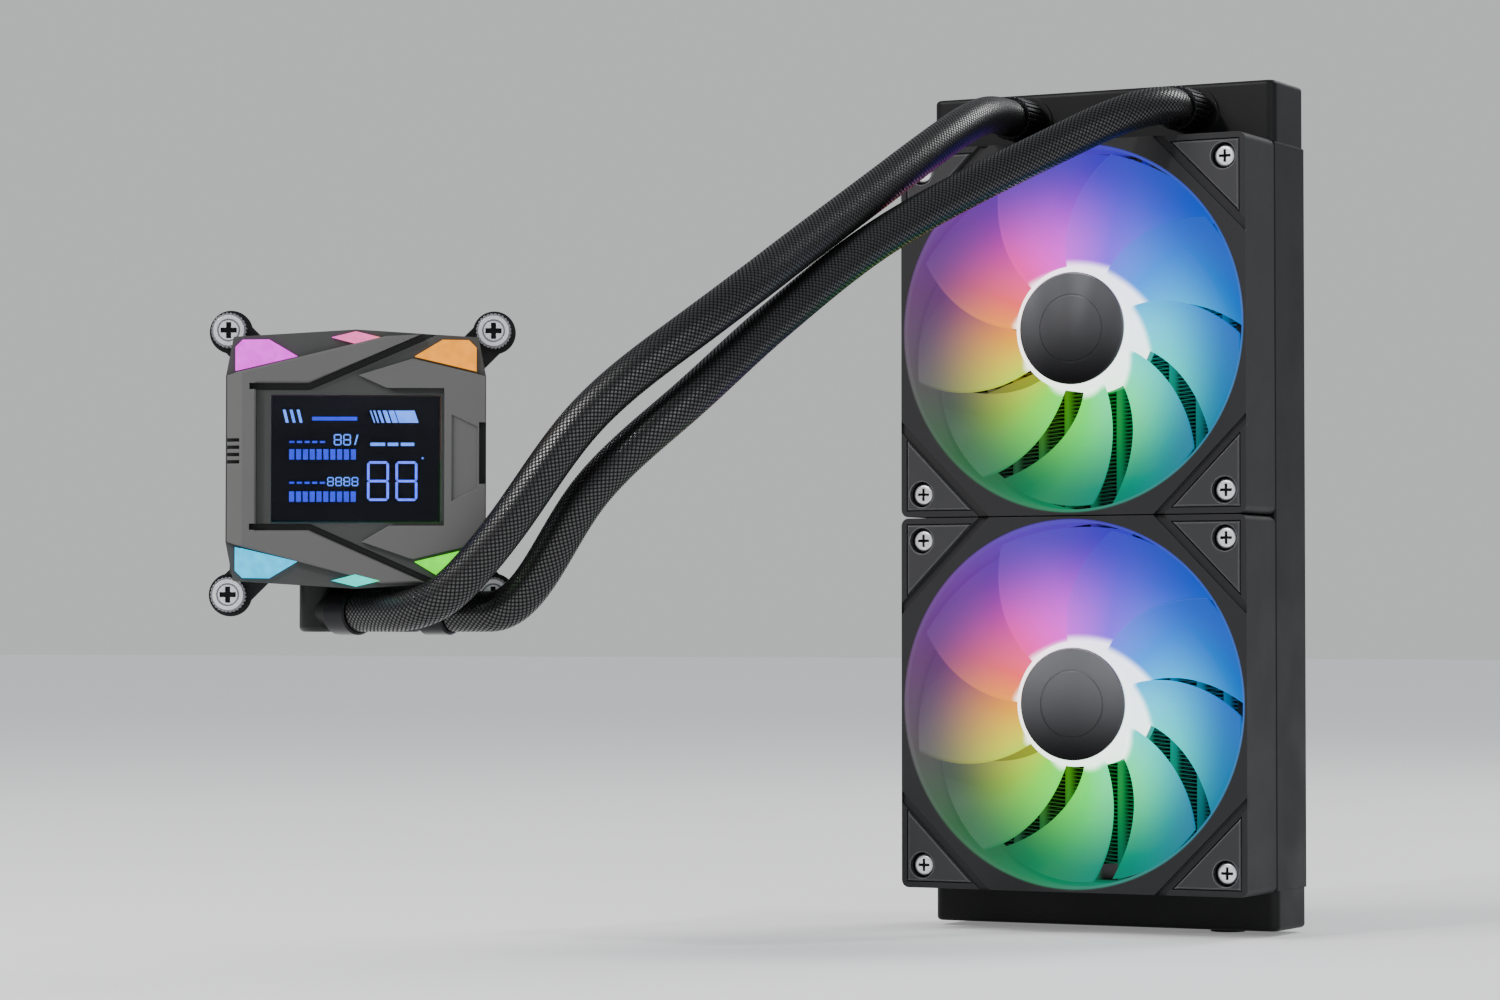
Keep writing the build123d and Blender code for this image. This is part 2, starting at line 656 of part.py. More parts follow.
def build_tube(line, outer, inner):
    """A tube swept along a centre line."""
    with BuildPart() as tube:
        with BuildSketch(Plane(origin=line @ 0, z_dir=line % 0)):
            Circle(outer)
            Circle(inner, mode=Mode.SUBTRACT)
        sweep(path=line)
    return tube


sleeve_bore = HOSE_RADIUS + 0.02
for side in ("supply", "return"):
    save(f"{side}_hose_radiator_end", build_tube(radiator_side_line(side), HOSE_RADIUS, HOSE_BORE).part)
    save(f"{side}_hose_pump_end", build_tube(pump_side_line(side), HOSE_RADIUS, HOSE_BORE).part)
    save(f"{side}_hose_elbow_end", build_tube(elbow_side_line(side), HOSE_RADIUS, HOSE_BORE).part)


def trimmed(line, start):
    """The same centre line with this length left off its beginning."""
    return line.trim(start / line.length, 1.0)


def save_sleeves(name, line_builder, start):
    """Writes both hoses' braided sleeves on one stretch as one file of separate solids."""
    tubes = [
        build_tube(trimmed(line_builder(side), start), SLEEVE_RADIUS, sleeve_bore).part
        for side in ("supply", "return")
    ]
    with BuildPart() as sleeves:
        for tube in tubes:
            add(tube)
    save(name, sleeves.part)


save_sleeves("hose_sleeves_radiator_end", radiator_side_line, COLLAR_LENGTH)
save_sleeves("hose_sleeves_pump_end", pump_side_line, 0.01)

# ================================================================ swivel elbows
elbow_top = -36.2
elbow_bottom = -50.0
spigot_end = -41.0


def elbow_plane(side, drop):
    """A plane across an elbow's upright swivel line, at this local height, facing up."""
    return Plane(
        origin=from_pump((ELBOW_X[side], drop, PORT_DEPTH)),
        x_dir=PUMP.x_dir,
        z_dir=(0, 0, 1),
    )


def outlet_plane(side, reach):
    """A plane across an elbow's outlet, at this distance from the swivel line, facing outwards."""
    return Plane(
        origin=elbow_point(side, reach),
        z_dir=elbow_point(side, 1.0) - elbow_point(side, 0.0),
    )


for side in ("supply", "return"):
    with BuildPart() as elbow:
        with BuildSketch(elbow_plane(side, elbow_bottom)):
            Circle(ELBOW_RADIUS)
        extrude(amount=elbow_top - elbow_bottom)
        fillet(elbow.edges().filter_by(GeomType.CIRCLE).sort_by(Axis.Z)[0], 1.6)
        # A thick socket, then the thin nipple that the hose pushes on to.
        with BuildSketch(outlet_plane(side, 2.0)):
            Circle(ELBOW_SOCKET_RADIUS)
        extrude(amount=6.2)
        with BuildSketch(outlet_plane(side, 2.0)):
            Circle(SPOUT_RADIUS)
        extrude(amount=18.0)
        with BuildSketch(elbow_plane(side, -47.0)):
            Circle(3.0)
        extrude(amount=9.0, mode=Mode.SUBTRACT)
        with BuildSketch(elbow_plane(side, spigot_end - 0.3)):
            Circle(SPIGOT_RADIUS + FINE_GAP)
        extrude(amount=elbow_top - spigot_end + 1.0, mode=Mode.SUBTRACT)
        with BuildSketch(outlet_plane(side, 0.0)):
            Circle(SPOUT_BORE_RADIUS)
        extrude(amount=21.0, mode=Mode.SUBTRACT)
    save(f"{side}_elbow", elbow.part)
    with BuildPart() as elbow_collar:
        with BuildSketch(outlet_plane(side, ELBOW_COLLAR_START)):
            Circle(ELBOW_COLLAR_RADIUS)
            Circle(HOSE_RADIUS + FINE_GAP, mode=Mode.SUBTRACT)
        extrude(amount=ELBOW_COLLAR_LENGTH)
        chamfer(elbow_collar.edges().filter_by(GeomType.CIRCLE).filter_by(lambda e: e.radius > 6), 0.5)
    save(f"{side}_elbow_collar", elbow_collar.part)
    sleeve_line = trimmed(elbow_side_line(side), ELBOW_COLLAR_LENGTH + 0.2)
    save(f"{side}_elbow_sleeve", build_tube(sleeve_line, SLEEVE_RADIUS, sleeve_bore).part)

# ================================================================ pump head
screw_corners = SCREW_SPACING / 2


def at_screws():
    """The four corners of the pump head's mounting pattern."""
    return GridLocations(SCREW_SPACING, SCREW_SPACING, 2, 2)


# The copper plate that touches the processor, with a block of thin fins inside the coolant chamber.
chamber_radius = 21.0
plate_screw_spacing = 46.0
plate_screw_radius = 1.25
seal_inner = 22.2
seal_outer = 23.8
with BuildPart() as cold_plate:
    with BuildSketch(PUMP):
        RectangleRounded(COLD_PLATE_SIZE, COLD_PLATE_SIZE, 8)
    extrude(amount=COLD_PLATE_DEPTH)
    with BuildSketch(PUMP.offset(COLD_PLATE_DEPTH)):
        with GridLocations(1.4, 1, 17, 1):
            Rectangle(0.6, 26)
    extrude(amount=2.4)
    with BuildSketch(PUMP):
        with GridLocations(plate_screw_spacing, plate_screw_spacing, 2, 2):
            Circle(plate_screw_radius + 0.15)
    extrude(amount=COLD_PLATE_DEPTH, mode=Mode.SUBTRACT)
    with BuildSketch(PUMP):
        with GridLocations(plate_screw_spacing, plate_screw_spacing, 2, 2):
            Circle(2.6)
    extrude(amount=1.6, mode=Mode.SUBTRACT)
save("cold_plate", cold_plate.part)

with BuildPart() as cold_plate_screws:
    with BuildSketch(PUMP.offset(0.3)):
        with GridLocations(plate_screw_spacing, plate_screw_spacing, 2, 2):
            Circle(2.5)
            RegularPolygon(1.1, 6, mode=Mode.SUBTRACT)
    extrude(amount=1.25)
    with BuildSketch(PUMP.offset(1.2)):
        with GridLocations(plate_screw_spacing, plate_screw_spacing, 2, 2):
            Circle(plate_screw_radius)
    extrude(amount=7.0)
save("cold_plate_screws", cold_plate_screws.part)

with BuildPart() as cold_plate_seal:
    with BuildSketch(PUMP.offset(COLD_PLATE_DEPTH + 0.02)):
        Circle(seal_outer)
        Circle(seal_inner, mode=Mode.SUBTRACT)
    extrude(amount=1.25)
save("cold_plate_seal", cold_plate_seal.part)

# The moulded body: a plug for the cold plate, the impeller's chamber and can, and the two port spigots.
impeller_floor = 8.5
impeller_roof = 14.6
can_top = 26.0
impeller_radius = 14.0
pump_shaft_radius = 1.0
with BuildPart() as pump_housing:
    with BuildSketch(PUMP.offset(COLD_PLATE_DEPTH + 0.02)):
        RectangleRounded(COLD_PLATE_SIZE, COLD_PLATE_SIZE, 8)
    extrude(amount=2.0)
    with BuildSketch(PUMP.offset(BRACKET_TOP + FINE_GAP)):
        RectangleRounded(BODY_SIZE, BODY_SIZE, 9)
    extrude(amount=BODY_TOP - BRACKET_TOP - FINE_GAP)
    with BuildSketch(PUMP.offset(BODY_TOP - 1.0)):
        Circle(9.0)
    extrude(amount=can_top - BODY_TOP + 1.0)
    for side in ("supply", "return"):
        with BuildSketch(elbow_plane(side, elbow_top + FINE_GAP)):
            Circle(6.5)
        extrude(amount=4.0)
        with BuildSketch(elbow_plane(side, spigot_end)):
            Circle(SPIGOT_RADIUS)
        extrude(amount=9.0)
    # A web behind the two spigots.
    with Locations(PUMP * Pos(0, -37.0, 6.4)):
        Box(SPIGOT_WEB_WIDTH, 10.0, 2.6)
    # Coolant chamber over the fins, seal groove, impeller chamber and the magnet's can.
    with BuildSketch(PUMP):
        Circle(chamber_radius)
    extrude(amount=6.4, mode=Mode.SUBTRACT)
    with BuildSketch(PUMP):
        Circle(seal_outer + 0.1)
        Circle(seal_inner - 0.1, mode=Mode.SUBTRACT)
    extrude(amount=COLD_PLATE_DEPTH + 1.35, mode=Mode.SUBTRACT)
    with BuildSketch(PUMP.offset(impeller_floor)):
        Circle(impeller_radius + 1.0)
    extrude(amount=impeller_roof - impeller_floor, mode=Mode.SUBTRACT)
    with BuildSketch(PUMP.offset(impeller_floor)):
        Circle(8.0)
    extrude(amount=can_top - 1.2 - impeller_floor, mode=Mode.SUBTRACT)
    with BuildSketch(PUMP.offset(6.0)):
        with Locations((0, 6)):
            Circle(3.0)
    extrude(amount=3.0, mode=Mode.SUBTRACT)
    for side in ("supply", "return"):
        with BuildSketch(elbow_plane(side, spigot_end - 1)):
            Circle(3.4)
        extrude(amount=27.0, mode=Mode.SUBTRACT)
    with BuildSketch(PUMP):
        with GridLocations(plate_screw_spacing, plate_screw_spacing, 2, 2):
            Circle(plate_screw_radius + FINE_GAP)
    extrude(amount=8.5, mode=Mode.SUBTRACT)
    with BuildSketch(PUMP.offset(can_top - 2.2)):
        Circle(2.4)
    extrude(amount=1.2)
    with BuildSketch(PUMP.offset(can_top - 3.0)):
        Circle(pump_shaft_radius + 0.02)
    extrude(amount=2.2, mode=Mode.SUBTRACT)
save("pump_housing", pump_housing.part)

with BuildPart() as pump_shaft:
    with BuildSketch(PUMP.offset(9.3)):
        Circle(pump_shaft_radius)
    extrude(amount=15.4)
save("pump_shaft", pump_shaft.part)

# The impeller: a vaned disc on a magnet hub that turns on the fixed shaft.
with BuildPart() as pump_impeller:
    with BuildSketch(PUMP.offset(9.6)):
        with PolarLocations(8.6, 8):
            Rectangle(9.6, 1.2, rotation=28)
        Circle(impeller_radius, mode=Mode.INTERSECT)
    extrude(amount=3.2)
    with BuildSketch(PUMP.offset(12.6)):
        Circle(impeller_radius)
    extrude(amount=1.2)
    with BuildSketch(PUMP.offset(9.6)):
        Circle(4.0)
    extrude(amount=4.0)
    with BuildSketch(PUMP.offset(13.0)):
        Circle(7.2)
    extrude(amount=9.6)
    with BuildSketch(PUMP.offset(9.0)):
        Circle(pump_shaft_radius + FINE_GAP)
    extrude(amount=15.0, mode=Mode.SUBTRACT)
save("pump_impeller", pump_impeller.part)

with BuildPart() as pump_stator:
    with BuildSketch(PUMP.offset(BODY_TOP + 0.05)):
        Circle(20.0)
        Circle(9.1, mode=Mode.SUBTRACT)
        with PolarLocations(14.5, 6, start_angle=30):
            Rectangle(8.0, 3.0, mode=Mode.SUBTRACT)
    extrude(amount=6.6)
save("pump_stator", pump_stator.part)

# The metal shell around the motor, with posts that carry the board and pins that carry the light guide.
shell_floor = BODY_TOP + FINE_GAP
post_spacing = 54.0
board_bottom = 28.0
guide_bottom = 33.8
with BuildPart() as pump_shell:
    with BuildSketch(PUMP.offset(shell_floor)):
        RectangleRounded(SHELL_SIZE, SHELL_SIZE, 7)
    extrude(amount=SHELL_TOP - shell_floor)
    with BuildSketch(PUMP.offset(shell_floor + 1.6)):
        RectangleRounded(SHELL_SIZE - 3.0, SHELL_SIZE - 3.0, 5.5)
    extrude(amount=SHELL_TOP - shell_floor, mode=Mode.SUBTRACT)
    with BuildSketch(PUMP.offset(shell_floor)):
        Circle(21.0)
    extrude(amount=2.0, mode=Mode.SUBTRACT)
    with BuildSketch(PUMP.offset(shell_floor + 1.0)):
        with GridLocations(post_spacing, post_spacing, 2, 2):
            Circle(3.0)
    extrude(amount=board_bottom - shell_floor - 1.0)
    with BuildSketch(PUMP.offset(board_bottom - 1.0)):
        with GridLocations(post_spacing, post_spacing, 2, 2):
            Circle(1.4)
    extrude(amount=guide_bottom - board_bottom + 1.0 - FINE_GAP)
    # Cooling slots along the left and right sides.
    slots = [(side * SHELL_SIZE / 2, 7.0 * row) for side in (-1, 1) for row in range(-3, 4)]
    with Locations(*[PUMP * Pos(x, y, 27.0) for x, y in slots]):
        Box(6.0, 3.0, 9.0, mode=Mode.SUBTRACT)
save("pump_shell", pump_shell.part)

with BuildPart() as pump_board:
    with BuildSketch(PUMP.offset(board_bottom + 0.02)):
        Rectangle(60, 60)
        with GridLocations(post_spacing, post_spacing, 2, 2):
            Circle(1.5, mode=Mode.SUBTRACT)
    extrude(amount=1.6)
    with BuildSketch(PUMP.offset(board_bottom + 1.6)):
        with Locations((-12, 8), (12, 8)):
            Rectangle(9, 9)
        with Locations((0, -14)):
            Rectangle(14, 6)
        with GridLocations(5, 4, 8, 2):
            Rectangle(1.6, 0.9)
    extrude(amount=1.2)
save("pump_board", pump_board.part)


def cover_outline(inset):
    """The eight-sided outline of the pump head's cover, drawn in by inset."""
    half_width = 37.5 - inset
    corner = 35.3 - inset
    crest = 37.5 - inset
    Polygon(
        (half_width, 24.0),
        (corner, corner),
        (0, crest),
        (-corner, corner),
        (-half_width, 24.0),
        (-half_width, -24.0),
        (-corner, -corner),
        (0, -crest),
        (corner, -corner),
        (half_width, -24.0),
        align=None,
    )


WINDOW = [(17.0, 29.7), (34.7, 25.5), (34.7, 32.3), (32.6, 34.4), (25.0, 34.5)]
DIAMOND = [(7.0, 35.2), (0, 36.9), (-7.0, 35.2), (0, 33.4)]


def window_outlines():
    """The six light openings: one in each corner and one at the middle of the top and of the bottom."""
    corners = [
        [(right * x, up * y) for x, y in WINDOW]
        for right in (-1, 1)
        for up in (-1, 1)
    ]
    return corners + [[(x, up * y) for x, y in DIAMOND] for up in (-1, 1)]


# One clear moulding under the cover, with six raised windows that fill the cover's openings.
window_bottom = SHELL_TOP + FINE_GAP / 2
with BuildPart() as light_guide:
    with BuildSketch(PUMP.offset(guide_bottom)):
        RectangleRounded(SHELL_SIZE - 3.4, SHELL_SIZE - 3.4, 5.2)
        Rectangle(DISPLAY_WIDTH + 0.6, DISPLAY_HEIGHT + 0.6, mode=Mode.SUBTRACT)
    extrude(amount=window_bottom - guide_bottom)
    with BuildSketch(PUMP.offset(window_bottom)):
        for outline in window_outlines():
            Polygon(*outline, align=None)
    extrude(amount=3.8)
save("light_guide", light_guide.part)

# The cover. A raised band on the left crosses over a lower band on the right, above and below the display.
cover_bottom = SHELL_TOP + FINE_GAP
OVER_BAND = [
    (-37.4, 23.9), (-33.4, 25.2), (8.8, 35.5), (20.4, 36.0), (-13.2, 21.9), (-28.6, 21.9),
    (-28.6, -20.7), (-13.2, -20.7), (20.8, -35.8), (7.4, -36.0), (-33.4, -25.2), (-37.4, -23.9),
]
UNDER_BAND = [
    (37.4, 23.9), (33.4, 25.0), (16.4, 29.0), (0.8, 24.2), (11.6, 19.3), (25.6, 19.3),
    (25.6, -18.2), (11.6, -18.2), (1.8, -24.0), (16.4, -29.0), (33.4, -25.0), (37.4, -23.9),
]
UPPER_GROOVE = [(-30.5, 20.9), (-13.4, 20.9), (25.0, 37.65)]
LOWER_GROOVE = [(-30.5, -19.7), (-13.4, -19.7), (25.0, -36.9)]
SIDE_INSET = [(27.7, 12.8), (35.2, 9.3), (35.2, -8.6), (27.7, -12.1)]
# The slope down the left edge, as distances to the right and backwards from the display's centre line.
LEFT_SLOPE = [
    (-38.5, -COVER_TOP - 1.0), (-32.6, -COVER_TOP - 1.0), (-32.6, -COVER_TOP), (-37.4, -39.3), (-38.5, -39.3),
]

with BuildPart() as pump_cover:
    with BuildSketch(PUMP.offset(cover_bottom)):
        cover_outline(0)
    extrude(amount=COVER_PLATE_TOP - cover_bottom)
    with BuildSketch(PUMP.offset(COVER_PLATE_TOP - 1.0)):
        Polygon(*UNDER_BAND, align=None)
    extrude(amount=UNDER_BAND_TOP - COVER_PLATE_TOP + 1.0)
    with BuildSketch(PUMP.offset(COVER_PLATE_TOP - 1.0)):
        Polygon(*OVER_BAND, align=None)
    extrude(amount=COVER_TOP - COVER_PLATE_TOP + 1.0)
    chamfer(pump_cover.faces().sort_by(Axis(PUMP_ORIGIN, PUMP.z_dir))[-1].edges(), 0.5)
    # The display's recess and opening, the grooves beside the bands, and the inset on the right.
    with BuildSketch(PUMP.offset(UNDER_BAND_TOP - 0.8)):
        with Locations((-1.0, 0.6)):
            Rectangle(53.0, 39.8)
    extrude(amount=5.0, mode=Mode.SUBTRACT)
    with BuildSketch(PUMP.offset(cover_bottom - 1)):
        Rectangle(DISPLAY_WIDTH + 0.2, DISPLAY_HEIGHT + 0.2)
    extrude(amount=10.0, mode=Mode.SUBTRACT)
    for points in (UPPER_GROOVE, LOWER_GROOVE):
        with BuildSketch(PUMP.offset(COVER_PLATE_TOP - 0.6)):
            with BuildLine():
                Polyline(*points)
            trace(line_width=1.8)
        extrude(amount=5.0, mode=Mode.SUBTRACT)
    with BuildSketch(PUMP.offset(UNDER_BAND_TOP - 0.7)):
        Polygon(*SIDE_INSET, align=None)
    extrude(amount=2.0, mode=Mode.SUBTRACT)
    # The left slope with its four short slots, and the notch in the right edge.
    with BuildSketch(Plane(origin=PUMP_ORIGIN, x_dir=PUMP.x_dir, z_dir=PUMP.y_dir)):
        Polygon(*LEFT_SLOPE, align=None)
    extrude(amount=40.0, both=True, mode=Mode.SUBTRACT)
    with Locations(*[PUMP * Pos(-35.2, 2.2 + 2.1 * row, 40.3) for row in (-1.5, -0.5, 0.5, 1.5)]):
        Box(3.6, 1.0, 2.4, mode=Mode.SUBTRACT)
    with Locations(PUMP * Pos(37.1, 1.7, UNDER_BAND_TOP)):
        Box(3.0, 17.8, 6.0, mode=Mode.SUBTRACT)
    with BuildSketch(PUMP.offset(cover_bottom - 1)):
        for outline in window_outlines():
            Polygon(*outline, align=None)
        offset(amount=0.1)
    extrude(amount=10.0, mode=Mode.SUBTRACT)
save("pump_cover", pump_cover.part)

panel_bottom = 34.4
glass_bottom = COVER_PLATE_TOP
with BuildPart() as display_panel:
    with BuildSketch(PUMP.offset(panel_bottom)):
        Rectangle(DISPLAY_WIDTH - 0.2, DISPLAY_HEIGHT - 0.2)
    extrude(amount=glass_bottom - panel_bottom)
    with BuildSketch(PUMP.offset(board_bottom + 1.65)):
        with GridLocations(DISPLAY_WIDTH - 6, DISPLAY_HEIGHT - 6, 2, 2):
            Circle(1.6)
    extrude(amount=panel_bottom - board_bottom - 1.65)
save("display_panel", display_panel.part)

with BuildPart() as display_glass:
    with BuildSketch(PUMP.offset(glass_bottom + 0.02)):
        Rectangle(DISPLAY_WIDTH, DISPLAY_HEIGHT)
    extrude(amount=0.8)
save("display_glass", display_glass.part)

# The steel bracket that presses the head down, with one arm and one hole for each corner screw.
with BuildPart() as mounting_bracket:
    with BuildSketch(PUMP.offset(BRACKET_BOTTOM)):
        RectangleRounded(68, 68, 8)
        for turn in (45, 135):
            Rectangle(SCREW_SPACING * sqrt(2), BRACKET_ARM_WIDTH, rotation=turn)
        with at_screws():
            Circle(BRACKET_TAB_RADIUS)
        RectangleRounded(COLD_PLATE_SIZE + 0.4, COLD_PLATE_SIZE + 0.4, 8.2, mode=Mode.SUBTRACT)
        with at_screws():
            Circle(BRACKET_HOLE_RADIUS, mode=Mode.SUBTRACT)
    extrude(amount=BRACKET_TOP - BRACKET_BOTTOM)
save("mounting_bracket", mounting_bracket.part)

spring_height = SCREW_HEAD_BOTTOM - BRACKET_TOP - 0.9
spring_bottom = BRACKET_TOP + 0.45
with BuildPart() as one_spring:
    with BuildLine():
        Helix(pitch=spring_height / 3, height=spring_height, radius=3.2, center=(0, 0, 0))
    with BuildSketch(Plane(origin=(3.2, 0, 0), z_dir=(0, 1, spring_height / 3 / 20.1))):
        Circle(0.38)
    sweep()
with BuildPart() as screw_springs:
    for x in (-screw_corners, screw_corners):
        for y in (-screw_corners, screw_corners):
            add(PUMP * Pos(x, y, spring_bottom) * one_spring.part)
save("screw_springs", screw_springs.part)

# Four spring-loaded screws. Each head has a raised ring and a cross slot.
screw_places = [(-screw_corners, screw_corners), (screw_corners, screw_corners),
                (-screw_corners, -screw_corners), (screw_corners, -screw_corners)]
for number, place in enumerate(screw_places, start=1):
    with BuildPart() as thumb_screw:
        with BuildSketch(PUMP.offset(SCREW_TIP)):
            with Locations(place):
                Circle(SCREW_SHANK_RADIUS)
        extrude(amount=7.0)
        with BuildSketch(PUMP.offset(2.0)):
            with Locations(place):
                Circle(SCREW_NECK_RADIUS)
        extrude(amount=SCREW_HEAD_BOTTOM - 1.0)
        with BuildSketch(PUMP.offset(SCREW_HEAD_BOTTOM)):
            with Locations(place):
                Circle(SCREW_HEAD_RADIUS)
                with PolarLocations(SCREW_HEAD_RADIUS, 28):
                    Circle(0.28, mode=Mode.SUBTRACT)
        extrude(amount=SCREW_HEAD_TOP - SCREW_HEAD_BOTTOM - 0.5)
        with BuildSketch(PUMP.offset(SCREW_HEAD_TOP - 0.5)):
            with Locations(place):
                Circle(SCREW_HEAD_RADIUS - 0.7)
        extrude(amount=0.5)
        with BuildSketch(PUMP.offset(SCREW_HEAD_TOP)):
            with Locations(place):
                Circle(3.4)
                Circle(2.9, mode=Mode.SUBTRACT)
        extrude(amount=-0.4, mode=Mode.SUBTRACT)
        with BuildSketch(PUMP.offset(SCREW_HEAD_TOP)):
            with Locations(place):
                Rectangle(4.8, 1.5)
                Rectangle(1.5, 4.8)
        extrude(amount=-1.8, mode=Mode.SUBTRACT)
    save(f"thumb_screw_{number}", thumb_screw.part)

# The pump head's flat lead: it leaves a slot in the shell's left side and runs down beside it to a flat plug.
side_wall = -SHELL_SIZE / 2 - FINE_GAP
with BuildPart() as pump_cable:
    with Locations(PUMP * Pos(side_wall - FLAT_LEAD_THICKNESS / 2, -15.3, FLAT_LEAD_DEPTH)):
        Box(FLAT_LEAD_THICKNESS, 19.0, 3.6)
    with Locations(PUMP * Pos(side_wall + 0.6, -7.0, FLAT_LEAD_DEPTH)):
        Box(4.4, 2.4, 3.2)
    with Locations(PUMP * Pos(side_wall - FLAT_PLUG_THICKNESS / 2, FLAT_PLUG_END + 4.2, FLAT_LEAD_DEPTH)):
        Box(FLAT_PLUG_THICKNESS, 8.4, 6.8)
        fillet(pump_cable.edges(Select.LAST).filter_by(Axis.Z), FLAT_PLUG_THICKNESS / 5)
save("pump_cable", pump_cable.part)
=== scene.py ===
import bpy
import json
import math
import numpy as np
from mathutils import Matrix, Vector


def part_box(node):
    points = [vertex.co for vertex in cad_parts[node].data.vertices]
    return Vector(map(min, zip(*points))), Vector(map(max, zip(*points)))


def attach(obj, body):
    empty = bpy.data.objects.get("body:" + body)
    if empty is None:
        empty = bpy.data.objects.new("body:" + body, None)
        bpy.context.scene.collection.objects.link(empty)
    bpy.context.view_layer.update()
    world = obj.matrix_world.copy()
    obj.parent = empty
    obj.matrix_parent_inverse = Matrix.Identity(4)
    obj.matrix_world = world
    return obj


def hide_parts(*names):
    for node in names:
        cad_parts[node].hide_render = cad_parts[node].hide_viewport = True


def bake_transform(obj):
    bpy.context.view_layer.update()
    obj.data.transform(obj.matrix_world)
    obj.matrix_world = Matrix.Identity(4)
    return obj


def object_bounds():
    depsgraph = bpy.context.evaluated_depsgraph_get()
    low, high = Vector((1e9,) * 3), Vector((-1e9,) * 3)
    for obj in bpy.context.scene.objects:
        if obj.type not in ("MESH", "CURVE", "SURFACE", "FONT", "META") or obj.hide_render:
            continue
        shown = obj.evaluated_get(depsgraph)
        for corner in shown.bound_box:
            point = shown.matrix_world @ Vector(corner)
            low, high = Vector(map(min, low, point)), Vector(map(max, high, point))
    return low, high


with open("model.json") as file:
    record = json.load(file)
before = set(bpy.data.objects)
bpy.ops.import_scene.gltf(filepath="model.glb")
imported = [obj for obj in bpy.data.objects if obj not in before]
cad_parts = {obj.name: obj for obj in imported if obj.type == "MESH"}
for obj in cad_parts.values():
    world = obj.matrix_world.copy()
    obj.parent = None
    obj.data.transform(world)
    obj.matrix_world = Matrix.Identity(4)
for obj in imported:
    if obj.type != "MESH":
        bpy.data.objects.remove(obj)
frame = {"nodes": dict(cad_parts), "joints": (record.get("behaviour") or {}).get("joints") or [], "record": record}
cad_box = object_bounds()
nodes = frame["nodes"]
joints = {joint["name"]: joint for joint in frame["joints"]}
mounts = {mount["name"]: mount for mount in frame["record"]["mounts"]}
MM = 0.001

# ---------------------------------------------------------------- places taken from the frame
FAN_Z = abs(joints["upper_fan_spin"]["pos_m"][2])
FAN_THICKNESS = 25 * MM
FAN_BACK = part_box("upper_fan_frame")[0].y + FAN_THICKNESS
HUB_RADIUS = 20 * MM
TIP_RADIUS = 56.7 * MM
DUCT_RADIUS = 58 * MM
FACE_W = Vector(joints["impeller_spin"]["axis"]).normalized()
FACE_V = Vector((0, 0, 1))
FACE_U = FACE_V.cross(FACE_W)
PUMP_ORIGIN = Vector(mounts["cold_plate_face"]["pos_m"])
FLEX = Vector(joints["hose_flex"]["pos_m"])
SIDES = ("supply", "return")

# Distances in front of the cold plate and of the fans' backs, in millimetres.
PUMP_SCREW_TOP = 13.5
FAN_SCREW_TOP = 23.7
GROOVE_LEVEL = 38.3
LEDGE_BOTTOM = 39.0
LEDGE_TOP = 39.46
MARK_BOTTOM = 38.64
MARK_TOP = 38.78
GLASS_BOTTOM = 38.92
GLASS_TOP = 39.42
COVER_HALF = 37.5


def pump_point(u, v, w):
    """A point on the pump head: u right, v up and w forward from the cold plate, all in millimetres."""
    return PUMP_ORIGIN + (FACE_U * u + FACE_V * v + FACE_W * w) * MM


# ================================================================ materials
def srgb(red, green, blue):
    """A colour as seen on screen, turned into the linear values that shaders use."""
    def linear(value):
        return value / 12.92 if value <= 0.04045 else ((value + 0.055) / 1.055) ** 2.4
    return (linear(red), linear(green), linear(blue), 1.0)


